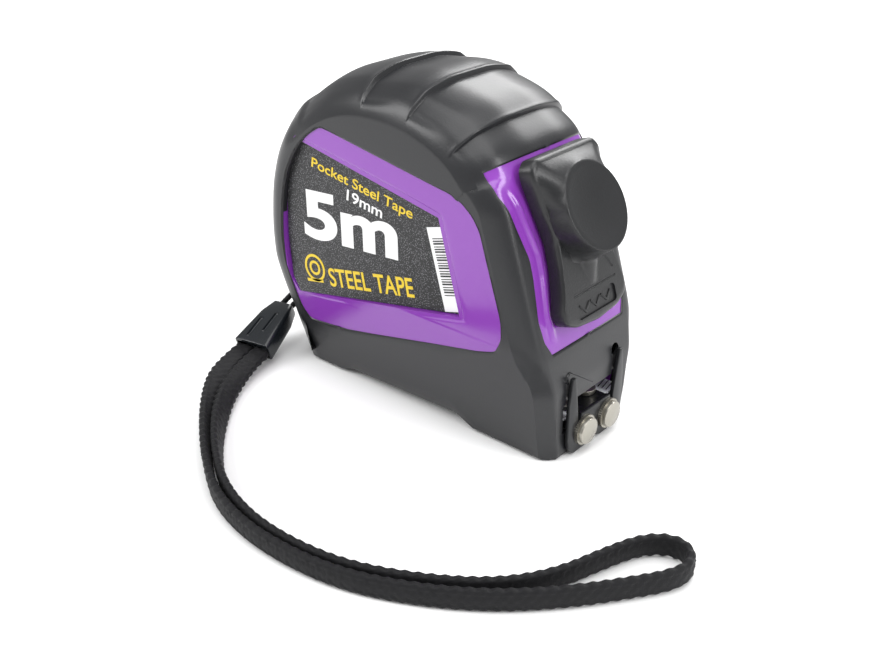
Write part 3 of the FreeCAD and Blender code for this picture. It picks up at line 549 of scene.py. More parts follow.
def outline_rows():
    """The case's outline as rows: x, z, and the inward direction, right round."""
    line = along_line([HEEL, OUTLINE_TOP[0]], LINE_STEP)[:-1] + smooth_through(OUTLINE_TOP, LINE_STEP)[:-1]
    line += along_line([OUTLINE_TOP[-1], SLOPE_FOOT, NOSE_SHOULDER, NOSE_FOOT, HEEL], LINE_STEP)[:-1]
    xz = softened(line, 22)
    xz[:, 1] = np.maximum(xz[:, 1], 0.0)
    xz = np.vstack([xz, xz[:1]])
    along = np.concatenate([[0.0], np.cumsum(np.linalg.norm(np.diff(xz, axis=0), axis=1))])
    wanted = list(np.arange(0.0, along[-1] - 0.5 * ROW_STEP, ROW_STEP))
    keep = []
    for edge in PLATE_EDGES:
        at = along[np.argmin(np.abs(xz[:, 0] - edge) + 100.0 * (xz[:, 1] < 60.0))]
        keep += [at + d for d in (-0.9, -0.6, -0.4, -0.25, -0.12, 0.0, 0.12, 0.25, 0.4, 0.6, 0.9)]
    for end in (FRONT_WINDOW[0][1], FRONT_WINDOW[-1][1]):
        slope = np.array([down_slope(x, z) for x, z in xz])
        at = along[np.argmin(np.abs(slope - end) + 100.0 * (xz[:, 0] < 19.0))]
        keep += [at - 0.7, at, at + 0.7]
    wanted = [w for w in wanted if min(abs(w - k) for k in keep) > 0.45] + keep
    rows = []
    for w in sorted(wanted):
        x, z = np.interp(w, along, xz[:, 0]), np.interp(w, along, xz[:, 1])
        ahead = [np.interp(w + 0.15, along, xz[:, k]) - np.interp(w - 0.15, along, xz[:, k]) for k in (0, 1)]
        size = math.hypot(*ahead) or 1.0
        rows.append((x, z, ahead[1] / size, -ahead[0] / size))
    return rows


ROWS = outline_rows()


def half_width(z):
    """Half width of the case at that height: a tapered skirt that runs softly into the flank."""
    taper = SKIRT_HALF + (HALF_WIDTH - SKIRT_HALF) * max(z, 0.0) / SKIRT_FULL_AT
    return HALF_WIDTH + 0.5 * (taper - HALF_WIDTH - math.sqrt((taper - HALF_WIDTH) ** 2 + 0.04))


def is_under(row):
    return row[3] > 0.5 and row[1] < 4.0


def chamfer(u):
    """How far the nose's chamfer drops at share u of the half width, as a share of the crown's drop."""
    return CHAMFER_DEEP * max(0.0, (u - CHAMFER_AT) / (1.0 - CHAMFER_AT))


def crown_drop(row, u):
    """How far the skin at share u of the half width is below the outline."""
    x, z, _, nz = row
    u = min(1.0, max(0.0, u))
    plate = eased((z - 56.0) / 6.0)
    front = eased((60.0 - z) / 8.0) if x > 15.0 else 0.0
    low = eased((25.0 - z) / 7.0) if x > 15.0 else 0.0
    under = 1.0 if is_under(row) else 0.0
    plain = 1.0 - math.sqrt(max(0.0, 1.0 - u * u))
    if u < SHOULDER_AT:
        faceted = SHOULDER_DROP * (u / SHOULDER_AT) ** 1.7
    else:
        k = (u - SHOULDER_AT) / (1.0 - SHOULDER_AT)
        faceted = SHOULDER_DROP + (1.0 - SHOULDER_DROP) * (0.6 * k + 0.4 * k ** 5)
    share = plain + (faceted - plain) * plate
    edge = 0.55 * max(0.0, (u - 0.70) / 0.30) ** 3.0 + 0.05 * u * u
    share += (edge - share) * front
    share += (chamfer(u) - share) * low
    share += (0.10 * u ** 12 - share) * under
    return CROWN_DROP * share


def plate_relief(row, u):
    """How far the crown is sunk by its overlapping plates and the crease behind them."""
    x, z = row[:2]
    if z < 45.0:
        return 0.0
    depth = 0.0
    for i, edge in enumerate(PLATE_EDGES):
        reach = PLATE_REACH if i < 2 else 5.5
        if edge - 0.15 < x < edge + reach:
            depth = PLATE_STEP * eased((x - edge + 0.15) / 0.3) * (1.0 - eased((x - edge) / reach))
        depth -= 0.16 * math.exp(-((x - edge + 0.45) / 0.28) ** 2)
    depth += 0.6 * eased((x + 33.5) / 1.2) * (1.0 - eased((x + 32.0) / 9.0)) if x < -20.0 else 0.0
    return depth * (1.0 - eased((u - 0.86) / 0.12))


def skin_point(row, u, t=0.0):
    """The place x, y, z of the case's skin, t inside it, at share u of the half width."""
    x, z, nx, nz = row
    drop = crown_drop(row, u) + t + plate_relief(row, u)
    px, pz = x + nx * drop, z + nz * drop
    y = CROWN_FLAT + (half_width(pz) - t - CROWN_FLAT) * u
    if is_under(row):
        round_heel = 1.0 - math.sqrt(1.0 - min(1.0, max(0.0, u)) ** 2)
        px = min(max(px, HEEL[0] + CROWN_DROP * round_heel + t), NOSE_FOOT[0] - CROWN_DROP * chamfer(u) - t)
    if is_under(row) and y > ARCH_IN + 0.02:
        pz = max(pz, np.interp(px, [p[0] for p in ARCH], [p[1] for p in ARCH]) + t)
    return Vector((px, y, pz))


def window_half(s):
    """Half width of the front window at s down the slope."""
    return float(np.interp(s, [p[1] for p in FRONT_WINDOW], [p[0] for p in FRONT_WINDOW]))


def in_window(row):
    s = down_slope(row[0], row[1])
    return row[0] > 19.0 and FRONT_WINDOW[0][1] - 0.15 < s < FRONT_WINDOW[-1][1] + 0.15


def split_share(row):
    """Share of the half width where a row's inner columns end: window edge, arch or shoulder."""
    if is_under(row):
        y = ARCH_IN
    elif row[0] > 15.0:
        s = down_slope(row[0], row[1])
        y = window_half(s) - 3.0 * eased((s - 37.0) / 8.0)
    else:
        y = FRONT_WINDOW[0][0]
    return (y - CROWN_FLAT) / (half_width(row[1]) - CROWN_FLAT)


def reach(polygon, hub, way):
    """Distance from hub to the closed line polygon, going that way."""
    e, r = np.roll(polygon, -1, axis=0) - polygon, polygon - np.array(hub)
    det = e[:, 0] * way[1] - e[:, 1] * way[0]
    det[np.abs(det) < 1e-9] = 1e9
    t = (e[:, 0] * r[:, 1] - e[:, 1] * r[:, 0]) / det
    k = (way[0] * r[:, 1] - way[1] * r[:, 0]) / det
    return float(t[(k > -1e-6) & (k < 1.000001)].max())


def backed(bm, deep):
    """Closes an open skin with a second one, whose places the layer deep holds."""
    made = bmesh.ops.extrude_face_region(bm, geom=bm.faces[:], use_keep_orig=True)
    for v in made["geom"]:
        if isinstance(v, bmesh.types.BMVert):
            v.co = v[deep]
    bmesh.ops.recalc_face_normals(bm, faces=bm.faces)
    return bm


rim_line = np.array([tuple(skin_point(row, 1.0).xz) for row in ROWS])


def inside_rim(point):
    """The point, brought in to leave a band of rubber between it and the flank's rim."""
    way = np.array(point) - np.array(FLANK_HUB)
    far = np.linalg.norm(way)
    return np.array(FLANK_HUB) + way / far * min(far, reach(rim_line, FLANK_HUB, way / far) - WINDOW_BAND)


window_line = [inside_rim(p) for p in along_line(SIDE_WINDOW + SIDE_WINDOW[:1], 0.5)[:-1]]
window_line = softened(window_line, 4)


def flank_point(rim, share):
    """A place on the flank, that share of the way from the rim of a row to the window."""
    way = np.array((rim.x - FLANK_HUB[0], rim.z - FLANK_HUB[1]))
    far = np.linalg.norm(way)
    r = far + (reach(window_line, FLANK_HUB, way / far) - far) * share
    x, z = FLANK_HUB + way / far * r
    return Vector((x, half_width(z), z))


def jacket_half():
    """One half's rubber, y > 0: crown and underside as a grid, flank as rings round its window."""
    bm = bmesh.new()
    columns = IN_COLUMNS + OUT_COLUMNS + len(FLANK_RINGS)
    bmesh.ops.create_grid(bm, x_segments=len(ROWS), y_segments=columns, size=0.5)
    deep = bm.verts.layers.float_vector.new("deep")
    gone = []
    for f in bm.faces:
        middle = f.calc_center_median()
        i, k = int((middle.x + 0.5) * len(ROWS)), int((middle.y + 0.5) * columns)
        if k < IN_COLUMNS and in_window(ROWS[i]) and in_window(ROWS[(i + 1) % len(ROWS)]):
            gone.append(f)
    rims = [(skin_point(row, 1.0), skin_point(row, 1.0, JACKET_THICK)) for row in ROWS]
    for v in bm.verts:
        i, k = round((v.co.x + 0.5) * len(ROWS)) % len(ROWS), round((v.co.y + 0.5) * columns)
        row, ring = ROWS[i], k - IN_COLUMNS - OUT_COLUMNS
        split = split_share(row)
        if ring > 0:
            share = FLANK_RINGS[ring - 1]
            v.co = flank_point(rims[i][0], share)
            v[deep] = v.co + (rims[i][1] - rims[i][0]) * (1.0 - share) - Vector((0, JACKET_THICK * share, 0))
            continue
        if k <= IN_COLUMNS:
            y = (CROWN_FLAT + (half_width(row[1]) - CROWN_FLAT) * split) * k / IN_COLUMNS
            u = (y - CROWN_FLAT) / (half_width(row[1]) - CROWN_FLAT)
        else:
            start = math.asin(min(0.99, max(0.0, split + 0.004)))
            u = math.sin(start + (0.5 * math.pi - start) * (k - IN_COLUMNS - 0.85) / (OUT_COLUMNS - 0.85))
        v[deep] = skin_point(row, u, JACKET_THICK)
        v.co = skin_point(row, u)
        if u < 0.0:
            v.co.y = v[deep].y = y
            v[deep] = Vector((v[deep].x, y, v[deep].z))
    bmesh.ops.delete(bm, geom=gone, context="FACES")
    bmesh.ops.remove_doubles(bm, verts=bm.verts, dist=0.004)
    bmesh.ops.recalc_face_normals(bm, faces=bm.faces)
    return bm, deep


def block(x, y, z):
    """A box between the two values of each axis, as a closed shape."""
    bm = bmesh.new()
    bmesh.ops.create_cube(bm, size=1.0)
    bmesh.ops.scale(bm, vec=(x[1] - x[0], y[1] - y[0], z[1] - z[0]), verts=bm.verts)
    bmesh.ops.translate(bm, vec=(0.5 * sum(x), 0.5 * sum(y), 0.5 * sum(z)), verts=bm.verts)
    return bm


def rod(radius, centre, axis, length, sides=32):
    """A closed round rod of that length about centre along axis."""
    bm = bmesh.new()
    bmesh.ops.create_cone(bm, cap_ends=True, segments=sides, radius1=radius, radius2=radius, depth=length)
    turn = Vector(axis).to_track_quat("Z", "Y").to_matrix().to_4x4()
    bmesh.ops.transform(bm, matrix=Matrix.Translation(Vector(centre)) @ turn, verts=bm.verts)
    return bm


MOUTH_HALF, MOUTH_Z = 10.2, (5.6, 12.4)
PRONG_AT, PRONG_HALF, PRONG_TOP, PRONG_FLOOR = 8.2, 1.3, 17.7, 34.3
LANYARD_GAP_HALF, LANYARD_GAP_Z = 3.5, (10.6, 17.4)


def jacket_mesh(sign):
    """A whole half: thickness given, rims rounded, mouth, slots and holes cut."""
    bm, deep = jacket_half()
    rims = {e for e in bm.edges if e.is_boundary and min(v.co.y for v in e.verts) > 0.5}
    seam = {v for e in bm.edges if e.is_boundary for v in e.verts if abs(v.co.y) < 0.01}
    lip = {v for e in rims for v in e.verts}
    lip |= {v for v in seam if any(e in rims for e in v.link_edges)}
    bm = backed(bm, deep)
    edges = [e for e in bm.edges if e.verts[0] in lip and e.verts[1] in lip and len(e.link_faces) == 2
             and e.calc_face_angle(0.0) > 0.9]
    rounded(bm, edges, LIP, 3)
    cuts = joined(block((20.0, 40.0), (-1.0, MOUTH_HALF), MOUTH_Z),
                  block((-50.0, -36.0), (-1.0, LANYARD_GAP_HALF), LANYARD_GAP_Z))
    if sign > 0:
        for x, z in HEAD_HOLES:
            joined(cuts, rod(2.5, (x, 15.0, z), (0, 1, 0), 20.0))
    across = (PRONG_AT - PRONG_HALF, PRONG_AT + PRONG_HALF)
    slot = joined(block((PRONG_FLOOR, 40.0), across, (7.0, PRONG_TOP)),
                  rod(PRONG_HALF, (PRONG_FLOOR + 3.0, PRONG_AT, PRONG_TOP), (1, 0, 0), 6.0))
    hull = bmesh.ops.convex_hull(slot, input=slot.verts)
    within = [v for v in hull["geom_interior"] if isinstance(v, bmesh.types.BMVert)]
    bmesh.ops.delete(slot, geom=within, context="VERTS")
    bm = carved(bm, [cuts, slot], crossing=sign > 0)
    bmesh.ops.scale(bm, vec=(1.0, sign, 1.0), verts=bm.verts)
    bmesh.ops.recalc_face_normals(bm, faces=bm.faces)
    return bm


jacket_rubber = grained("jacket_rubber", (0.0105, 0.011, 0.0125), (0.015, 0.0155, 0.018), 2600.0,
                        0.33, 0.10, 0.20)
piece("jacket_skin_left", jacket_mesh(-1), "case", jacket_rubber, ["jacket_left"], 32.0)
piece("jacket_skin_right", jacket_mesh(1), "case", jacket_rubber, ["jacket_right"], 32.0)


# ---------------------------------------------------------------- shell panels
# The purple gloss ABS of the case halves, where the rubber leaves it open: a
# frame round each label, stepped down to it, and the curved front panel.
LABEL = [(-29.3, 55.4), (9.2, 48.0), (14.7, 28.4), (-33.6, 18.7), (-35.6, 22.0), (-36.4, 32.1),
         (-35.8, 41.3), (-34.2, 48.3)]
PANEL_SUNK, LABEL_SUNK = 0.28, 1.45
STEP_WIDE = 1.5             # width of the rounded step down to the label
FRAME_TURNS, FRAME_RINGS = 420, 16
STEP_RINGS = 8              # of those rings, the ones on the step
PANEL_TUCK = 1.1            # how far a panel runs under the rubber
PANEL_THICK = 0.12
RIM_GAP = 0.3               # a frame ends that far inside the flank's rim
label_line = softened(along_line(LABEL + LABEL[:1], 0.5)[:-1], 2)


def frame_mesh(sign):
    """The frame between the side window and the label."""
    bm = bmesh.new()
    bmesh.ops.create_grid(bm, x_segments=FRAME_TURNS, y_segments=FRAME_RINGS, size=0.5)
    deep = bm.verts.layers.float_vector.new("deep")
    ways = [(math.cos(2.0 * math.pi * i / FRAME_TURNS), math.sin(2.0 * math.pi * i / FRAME_TURNS))
            for i in range(FRAME_TURNS)]
    reaches = []
    for way in ways:
        label, window, rim = (reach(line, FLANK_HUB, way) for line in (label_line, window_line, rim_line))
        reaches.append((label, min(window + PANEL_TUCK, rim - RIM_GAP)))
    for v in bm.verts:
        i, k = round((v.co.x + 0.5) * FRAME_TURNS) % FRAME_TURNS, round((v.co.y + 0.5) * FRAME_RINGS)
        way, (inner, outer) = ways[i], reaches[i]
        if k <= STEP_RINGS:
            r = inner + STEP_WIDE * k / STEP_RINGS
        else:
            beyond = (k - STEP_RINGS) / (FRAME_RINGS - STEP_RINGS)
            r = inner + STEP_WIDE + (outer - inner - STEP_WIDE) * beyond
        x, z = FLANK_HUB[0] + way[0] * r, FLANK_HUB[1] + way[1] * r
        fall = (1.0 - eased((r - inner) / STEP_WIDE)) * (LABEL_SUNK - PANEL_SUNK)
        v.co = (x, sign * (half_width(z) - PANEL_SUNK - fall), z)
        v[deep] = v.co - Vector((0.0, sign * PANEL_THICK, 0.0))
    bmesh.ops.remove_doubles(bm, verts=bm.verts, dist=0.002)
    return backed(bm, deep)


BEAD_IN, BEAD_HIGH, BEAD_WIDE = 3.1, 0.38, 0.55     # bead inside the window's edge
PANEL_ROWS, PANEL_COLUMNS = 110, 46
STEM_HOLE_HALF, STEM_HOLE = 4.6, (9.0, 28.0)
front_rows = sorted([r for r in ROWS if r[0] > 17.0 and r[1] > 15.0], key=lambda r: down_slope(r[0], r[1]))
front_s = [down_slope(r[0], r[1]) for r in front_rows]


def front_place(s, y, sunk):
    """The place at s down the slope and y across, sunk below the case's skin."""
    row = tuple(float(np.interp(s, front_s, [r[k] for r in front_rows])) for k in range(4))
    u = (y - CROWN_FLAT) / (half_width(row[1]) - CROWN_FLAT)
    drop = crown_drop(row, u) + plate_relief(row, u) + sunk
    return Vector((row[0] + row[2] * drop, y, row[1] + row[3] * drop))


def front_mesh(sign):
    """Half of the curved front panel, with its raised bead beside the lock."""
    bm = bmesh.new()
    bmesh.ops.create_grid(bm, x_segments=PANEL_ROWS, y_segments=PANEL_COLUMNS, size=0.5)
    deep = bm.verts.layers.float_vector.new("deep")
    first, last = FRONT_WINDOW[0][1] - 1.0, FRONT_WINDOW[-1][1] + 1.0
    hidden = []
    for v in bm.verts:
        s = first + (last - first) * (v.co.x + 0.5)
        y = (v.co.y + 0.5) * (window_half(s) + PANEL_TUCK)
        if y < STEM_HOLE_HALF and STEM_HOLE[0] < s < STEM_HOLE[1]:
            hidden.append(v)
        off = window_half(s) - BEAD_IN - y
        ends = eased((s - 1.5) / 3.0) * (1.0 - eased((s - 31.0) / 3.0))
        bead = BEAD_HIGH * math.exp(-(off / BEAD_WIDE) ** 2) - 0.10 * math.exp(-((off + 1.1) / 0.35) ** 2)
        place = front_place(s, y, PANEL_SUNK - bead * ends)
        v.co = (place.x, sign * y, place.z)
        v[deep] = v.co - Vector((SLOPE_OUT[0], 0.0, SLOPE_OUT[1])) * PANEL_THICK
    bmesh.ops.delete(bm, geom=hidden, context="VERTS")
    return backed(bm, deep)


gloss_purple = grained("gloss_purple", (0.215, 0.038, 0.375), (0.240, 0.048, 0.405), 700.0, 0.17, 0.08, 0.03,
                       patches=25.0, Coat_Weight=0.35, Coat_Roughness=0.08)


def dress(material, *names):
    """Gives CAD nodes that keep their own meshes a finer material."""
    for name in names:
        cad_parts[name].material_slots[0].material = material


for side, sign in (("left", -1), ("right", 1)):
    piece("label_frame_" + side, frame_mesh(sign), "case", gloss_purple, [], 40.0)
    piece("front_panel_" + side, front_mesh(sign), "case", gloss_purple, [], 40.0)
    dress(gloss_purple, "shell_" + side)


# ---------------------------------------------------------------- labels
# A black sticker with fine glitter in the recess of each flank. The near one
# is printed: the blade's length and width, a plain coil mark and a bar patch.
LABEL_FACE, PRINT_THICK = 17.1, 0.05
label_foil, tree, bsdf = shader("label_foil", (0.012, 0.012, 0.013), 0.42)
place = node(tree, "ShaderNodeTexCoord")
glitter = node(tree, "ShaderNodeTexVoronoi", [("Vector", place.outputs["Object"]), ("Scale", 3000.0)])
flake = maths(tree, "LESS_THAN", glitter.outputs["Distance"], 0.30)
tint = node(tree, "ShaderNodeTexNoise", [("Vector", place.outputs["Object"]), ("Scale", 2600.0)])
bright = maths(tree, "MULTIPLY", flake, tint.outputs["Fac"])
tree.links.new(blend(tree, bright, (0.006, 0.006, 0.007), (0.30, 0.30, 0.32)), bsdf.inputs["Base Color"])
dress(label_foil, "label_left", "label_right")


def on_label(bm, origin, slope):
    """Lays a flat shape drawn in X and Y on the near label, its foot at origin."""
    turn = Matrix.Rotation(math.radians(slope), 4, "Z")
    stand = Matrix.Rotation(math.radians(90.0), 4, "X")
    foot = Matrix.Translation((origin[0], -LABEL_FACE - 0.01, origin[1]))
    bmesh.ops.transform(bm, matrix=foot @ stand @ turn, verts=bm.verts)
    made = bmesh.ops.extrude_face_region(bm, geom=bm.faces[:], use_keep_orig=True)
    bmesh.ops.translate(bm, vec=(0.0, -PRINT_THICK, 0.0),
                        verts=[v for v in made["geom"] if isinstance(v, bmesh.types.BMVert)])
    bmesh.ops.recalc_face_normals(bm, faces=bm.faces)
    return bm


def lettering(words, origin, size, slope, weight, lean=0.0):
    """Printed words, size = their width and height."""
    text = bpy.data.curves.new("words", "FONT")
    text.body = words
    text.offset = weight
    bm = drawn(text)
    bmesh.ops.remove_doubles(bm, verts=bm.verts, dist=0.0005)
    low = [min(v.co[k] for v in bm.verts) for k in (0, 1)]
    high = [max(v.co[k] for v in bm.verts) for k in (0, 1)]
    for v in bm.verts:
        y = (v.co.y - low[1]) / (high[1] - low[1]) * size[1]
        v.co = ((v.co.x - low[0]) / (high[0] - low[0]) * size[0] + y * math.tan(math.radians(lean)), y, 0.0)
    return on_label(bm, origin, slope)


def ring_mark(outer, inner, origin):
    """A flat printed ring."""
    bm = bmesh.new()
    bmesh.ops.create_circle(bm, cap_ends=True, segments=40, radius=outer)
    bmesh.ops.inset_region(bm, faces=bm.faces[:], thickness=outer - inner, use_even_offset=True,
                           use_boundary=True)
    centre = [f for f in bm.faces if len(f.verts) > 4]
    bmesh.ops.delete(bm, geom=centre, context="FACES")
    return on_label(bm, origin, 0.0)


def bar(length, height, origin, slope):
    bm = bmesh.new()
    bmesh.ops.create_grid(bm, x_segments=1, y_segments=1, size=0.5)
    bmesh.ops.scale(bm, vec=(length, height, 1.0), verts=bm.verts)
    bmesh.ops.translate(bm, vec=(0.5 * length, 0.5 * height, 0.0), verts=bm.verts)
    return on_label(bm, origin, slope)


YELLOW, WHITE = (0.78, 0.56, 0.02), (0.86, 0.86, 0.86)
print_white = grained("print_white", WHITE, (0.80, 0.80, 0.80), 1800.0, 0.45, 0.1, 0.05)
print_yellow = grained("print_yellow", YELLOW, (0.70, 0.50, 0.02), 1800.0, 0.45, 0.1, 0.05)
print_black = grained("print_black", (0.01, 0.01, 0.01), (0.02, 0.02, 0.02), 1800.0, 0.5, 0.1, 0.05)
yellow = joined(lettering("Pocket Steel Tape", (-27.2, 49.2), (29.0, 2.9), -8.8, 0.012),
                lettering("STEEL TAPE", (-23.0, 23.2), (25.5, 4.3), 11.4, 0.014))
joined(yellow, joined(ring_mark(3.2, 2.6, (-27.9, 26.2)), ring_mark(1.7, 1.1, (-27.9, 26.2))))
joined(yellow, bar(5.2, 0.7, (-30.4, 22.3), 11.4))
piece("label_print_yellow", yellow, "case", print_yellow, [], 30.0)
white = joined(lettering("5m", (-30.4, 33.0), (28.0, 11.2), 4.5, 0.034, 4.0),
               lettering("19mm", (-16.9, 44.9), (10.2, 2.5), -8.8, 0.014))
PATCH_FOOT, PATCH_WIDE, PATCH_TALL, PATCH_TURN = (10.0, 28.2), 17.6, 5.3, 106.0
joined(white, bar(PATCH_WIDE, PATCH_TALL, (PATCH_FOOT[0] + PATCH_TALL, PATCH_FOOT[1] + 1.1), PATCH_TURN))
piece("label_print_white", white, "case", print_white, [], 30.0)
bars = None
for k in range(22):
    turn = math.radians(PATCH_TURN)
    along = 3.4 + 0.56 * k
    at = (PATCH_FOOT[0] + PATCH_TALL + along * math.cos(turn) - 1.1 * math.sin(turn),
          PATCH_FOOT[1] + 1.1 + along * math.sin(turn) + 1.1 * math.cos(turn))
    line = bar((0.18, 0.34, 0.26)[k % 3], PATCH_TALL - 2.0, at, PATCH_TURN)
    bmesh.ops.translate(line, vec=(0.0, -0.04, 0.0), verts=line.verts)
    bars = joined(bars, line) if bars else line
piece("label_print_bars", bars, "case", print_black, [], 30.0)


# ---------------------------------------------------------------- thumb lock
# The fine-grained black slider on the front slope: a plate with rounded edges,
# a hood that rises to a dished thumb rest, and a ridge that fades below it.
LOCK_OUTLINE = [(0.0, -2.0), (9.4, -2.0), (11.0, -0.4), (11.0, 1.8), (9.6, 8.4), (8.3, 14.6), (8.5, 19.6),
                (9.4, 24.0), (10.7, 28.2), (10.0, 30.4), (7.0, 31.8), (0.0, 32.5)]
PLATE_UNDER, PLATE_TOP, PLATE_ROUND = 0.25, 3.6, 0.9
DISH_S, DISH_R, DISH_TOP, DISH_DEEP, DISH_TILT = 9.5, 8.6, 10.2, 0.8, 12.0
RIDGE_TOP, RIDGE_R, RIDGE_TIP, RIDGE_LONG, RIDGE_BASE = 10.5, 6.0, 0.8, 14.5, 2.8
LOCK_TURNS, DISH_RINGS, WALL_RINGS = 168, 9, 22


def on_slope(y, s, off):
    """The place at y across, s down the front slope and off above it."""
    x, z = SLOPE_TOP + SLOPE_DOWN * s + SLOPE_OUT * off
    return Vector((x, y, z))


def plate_height(y, s):
    """Height of the lock's lower face, with the ridge that runs down its middle."""
    r = RIDGE_R - (RIDGE_R - RIDGE_TIP) * (s - RIDGE_TOP) / RIDGE_LONG
    ridge = RIDGE_BASE + math.sqrt(r * r - y * y) if s < RIDGE_TOP + RIDGE_LONG and r > abs(y) else 0.0
    return 0.5 * (ridge + PLATE_TOP + math.sqrt((ridge - PLATE_TOP) ** 2 + 0.12))


def lock_mesh():
    """Rings round the dish's centre: dish, rim, hood and ridge, plate edge, underside."""
    mirrored = [(-y, s) for y, s in LOCK_OUTLINE[-2:0:-1]]
    line = softened(along_line(LOCK_OUTLINE + mirrored + LOCK_OUTLINE[:1], 0.4)[:-1], 3)
    tilt = math.tan(math.radians(DISH_TILT))
    rings = [("dish", k / DISH_RINGS) for k in range(DISH_RINGS + 1)]
    rings += [("rim", 0.10), ("rim", 0.28), ("rim", 0.42)]
    rings += [("wall", (k / WALL_RINGS) ** 1.3) for k in range(WALL_RINGS + 1)]
    rings += [("edge", 30.0), ("edge", 60.0), ("edge", 90.0), ("foot", 0.0), ("under", 0.0)]
    bm = bmesh.new()
    bmesh.ops.create_grid(bm, x_segments=LOCK_TURNS, y_segments=len(rings) - 1, size=0.5)
    for v in bm.verts:
        turn = 2.0 * math.pi * (v.co.x + 0.5)
        kind, k = rings[round((v.co.y + 0.5) * (len(rings) - 1))]
        across, down = math.sin(turn), math.cos(turn)
        far = reach(line, (0.0, DISH_S), (across, down))
        inner = max(far - PLATE_ROUND, DISH_R + 0.35)
        r = {"dish": (DISH_R - 0.25) * k, "rim": DISH_R - 0.25 + k,
             "wall": DISH_R + 0.3 + (inner - DISH_R - 0.3) * k,
             "edge": inner + (far - inner) * math.sin(math.radians(k)), "foot": far, "under": 0.0}[kind]
        y, s = across * r, DISH_S + down * r
        face = DISH_TOP - (DISH_R - down * r) * tilt
        rim_low = DISH_TOP - (DISH_R - down * DISH_R) * tilt - 0.5
        if kind == "dish":
            off = face - DISH_DEEP * (1.0 - k * k)
        elif kind == "rim":
            off = face - 0.5 * k * k
        elif kind == "wall":
            floor = plate_height(y, s)
            fallen = floor + (rim_low - floor) * max(0.0, 1.0 - k / 0.12)
            hood = PLATE_TOP + (rim_low - PLATE_TOP) * (1.0 - k) ** 1.15
            off = hood + (fallen - hood) * eased((down + 0.05) / 0.55)
        elif kind == "edge":
            off = PLATE_TOP - PLATE_ROUND * (1.0 - math.cos(math.radians(k)))
        else:
            off = PLATE_UNDER
        v.co = on_slope(y, s, off)
    bmesh.ops.remove_doubles(bm, verts=bm.verts, dist=0.003)
    bmesh.ops.recalc_face_normals(bm, faces=bm.faces)
    high, low = PLATE_TOP + 0.1, PLATE_TOP - 0.4
    marks = capsule(on_slope(-6.6, 25.6, high), on_slope(7.2, 25.6, high), 0.3)
    joined(marks, capsule(on_slope(4.2, 19.4, high), on_slope(7.0, 23.6, high), 0.3))
    panel = block((26.9, 30.6), (-6.6, 6.6), (low, PLATE_TOP + 2.0))
    rounded(panel, [e for e in panel.edges if abs(e.verts[0].co.z - e.verts[1].co.z) > 1.0], 0.9, 4)
    lie = Matrix(((SLOPE_DOWN[0], 0.0, SLOPE_OUT[0]), (0.0, 1.0, 0.0),
                  (SLOPE_DOWN[1], 0.0, SLOPE_OUT[1]))).to_4x4()
    bmesh.ops.transform(panel, matrix=Matrix.Translation(on_slope(0.0, 0.0, 0.0)) @ lie, verts=panel.verts)
    bm = carved(bm, [marks, panel])
    for y in (-3.6, 0.0, 3.6):
        for side in (-1, 1):
            joined(bm, capsule(on_slope(y, 29.6, low), on_slope(y + 1.5 * side, 28.1, low), 0.26))
    return bm


lock_black = grained("lock_black", (0.0085, 0.009, 0.010), (0.013, 0.0135, 0.015), 2600.0, 0.36, 0.08, 0.35)
piece("lock_hood", lock_mesh(), "lock", lock_black, ["lock_slider"], 35.0)
dress(lock_black, "lock_shoe")
pad_rubber = grained("pad_rubber", (0.012, 0.012, 0.012), (0.02, 0.02, 0.02), 1500.0, 0.8, 0.1, 0.5)
dress(pad_rubber, "brake_pad")


# ---------------------------------------------------------------- end hook
# A forked hook pressed from 0.9 mm steel and blackened; two nickelled magnets
# sit in knurled collars on it, and three rivets hold its tongue to the blade.
def eased_copy(node_name, new_name, body, material, width, segments=2):
    """A pressed or turned part with its sharp edges broken."""
    bm = bmesh.new()
    bm.from_mesh(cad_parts[node_name].data)
    bmesh.ops.scale(bm, vec=(1.0 / MM, 1.0 / MM, 1.0 / MM), verts=bm.verts)
    bmesh.ops.remove_doubles(bm, verts=bm.verts, dist=0.002)
    bmesh.ops.dissolve_limit(bm, angle_limit=math.radians(1.0), verts=bm.verts, edges=bm.edges)
    sharp = [e for e in bm.edges if len(e.link_faces) == 2 and e.calc_face_angle(0.0) > math.radians(40.0)]
    rounded(bm, sharp, width, segments)
    return piece(new_name, bm, body, material, [node_name], 30.0)


hook_black = grained("hook_black", (0.009, 0.0095, 0.011), (0.014, 0.015, 0.017), 1400.0,
                     0.30, 0.12, 0.10, metallic=0.2)
nickel = grained("nickel", (0.36, 0.345, 0.30), (0.44, 0.42, 0.37), 900.0, 0.28, 0.12, 0.06, metallic=0.9)
eased_copy("hook", "hook_fork", "hook", hook_black, 0.13)
eased_copy("hook_magnets", "hook_discs", "hook", nickel, 0.16)
eased_copy("hook_rivets", "hook_rivet_heads", "blade", nickel, 0.08)

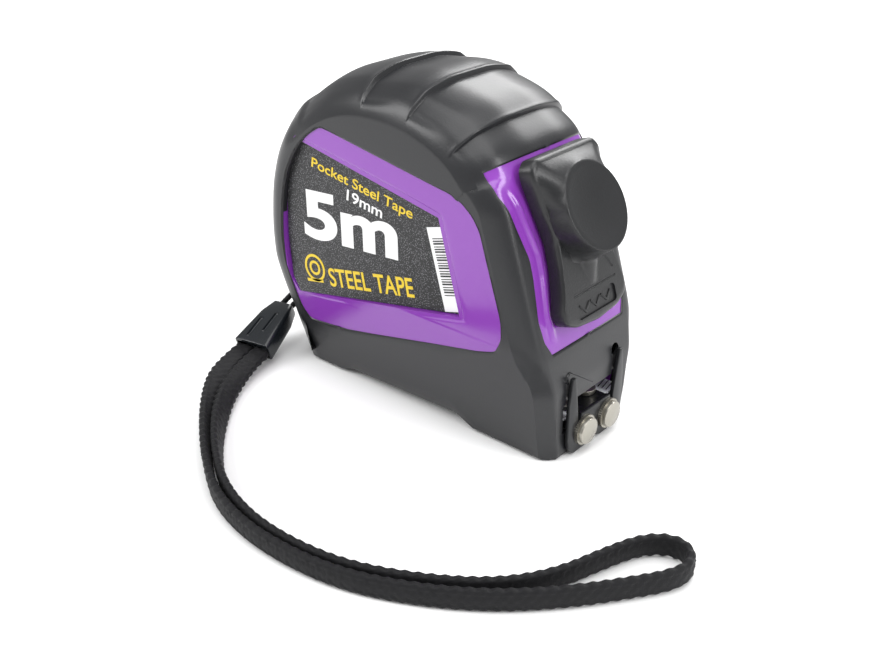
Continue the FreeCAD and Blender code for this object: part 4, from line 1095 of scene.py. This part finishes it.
MAGNET_AT, MAGNET_R, COLLAR_WALL, COLLAR_X = (4.25, 4.75), 2.85, 0.5, (36.4, 37.1)
KNURLS, KNURL_PROUD, KNURL_DEEP = 44, 0.06, 0.12
collars = bmesh.new()
for side in (-1, 1):
    ring = rod(MAGNET_R + COLLAR_WALL - KNURL_PROUD, (sum(COLLAR_X) / 2, side * MAGNET_AT[0], MAGNET_AT[1]),
               (1, 0, 0), COLLAR_X[1] - COLLAR_X[0], KNURLS * 2)
    rim = [e for e in ring.edges if abs(e.verts[0].co.x - e.verts[1].co.x) > 0.1]
    for k, e in enumerate(sorted(rim, key=lambda e: math.atan2(e.verts[0].co.z - MAGNET_AT[1],
                                                              e.verts[0].co.y - side * MAGNET_AT[0]))):
        for v in e.verts:
            way = Vector((0.0, v.co.y - side * MAGNET_AT[0], v.co.z - MAGNET_AT[1])).normalized()
            v.co += way * (KNURL_PROUD if k % 2 else -KNURL_DEEP)
    joined(collars, ring)
piece("knurled_collars", collars, "hook", nickel, ["magnet_collars"], 20.0)


# ---------------------------------------------------------------- blade
# White lacquered spring steel, cupped, printed in black: a line each
# millimetre from both edges and a longer one each centimetre.
BLADE_WHITE = (0.80, 0.83, 0.86)
blade_lacquer, tree, bsdf = shader("blade_lacquer", BLADE_WHITE, 0.28)
place = node(tree, "ShaderNodeTexCoord")
split = node(tree, "ShaderNodeSeparateXYZ", [("Vector", place.outputs["Object"])])
edge = maths(tree, "ABSOLUTE", split.outputs["Y"])
marks = []
for per_metre, share, beyond in ((1000.0, 0.22, 0.0070), (100.0, 0.04, 0.0045)):
    along = maths(tree, "FRACT", maths(tree, "MULTIPLY", split.outputs["X"], per_metre))
    line = maths(tree, "LESS_THAN", along, share)
    marks.append(maths(tree, "MULTIPLY", line, maths(tree, "GREATER_THAN", edge, beyond)))
ink = maths(tree, "MAXIMUM", *marks)
tree.links.new(blend(tree, ink, BLADE_WHITE, (0.015, 0.015, 0.018)), bsdf.inputs["Base Color"])
dress(blade_lacquer, "blade", "blade_coil")


# ---------------------------------------------------------------- belt clip and small parts
# The zinc-plated spring clip on the far flank with its low-headed screw, the
# case screws and the strap's pin; inside, the moulded drum, axle and spring.
zinc = grained("zinc_plate", (0.46, 0.47, 0.49), (0.56, 0.57, 0.60), 1100.0, 0.30, 0.16, 0.10, metallic=0.92)
eased_copy("belt_clip", "belt_clip_spring", "case", zinc, 0.16)
eased_copy("belt_clip_screw", "belt_clip_screw_head", "case", zinc, 0.08, 1)
dress(zinc, "case_screws", "lanyard_pin")
black_plastic = grained("black_plastic", (0.010, 0.010, 0.011), (0.016, 0.016, 0.018), 1600.0, 0.5, 0.1, 0.2)
dress(black_plastic, "drum_axle", "mouth_liner")
acetal = grained("drum_acetal", (0.60, 0.60, 0.57), (0.66, 0.66, 0.63), 900.0, 0.45, 0.1, 0.1)
dress(acetal, "tape_drum", "drum_cover")
blued = grained("blued_steel", (0.16, 0.17, 0.20), (0.24, 0.25, 0.28), 700.0, 0.32, 0.15, 0.1, metallic=0.9)
dress(blued, "power_spring")
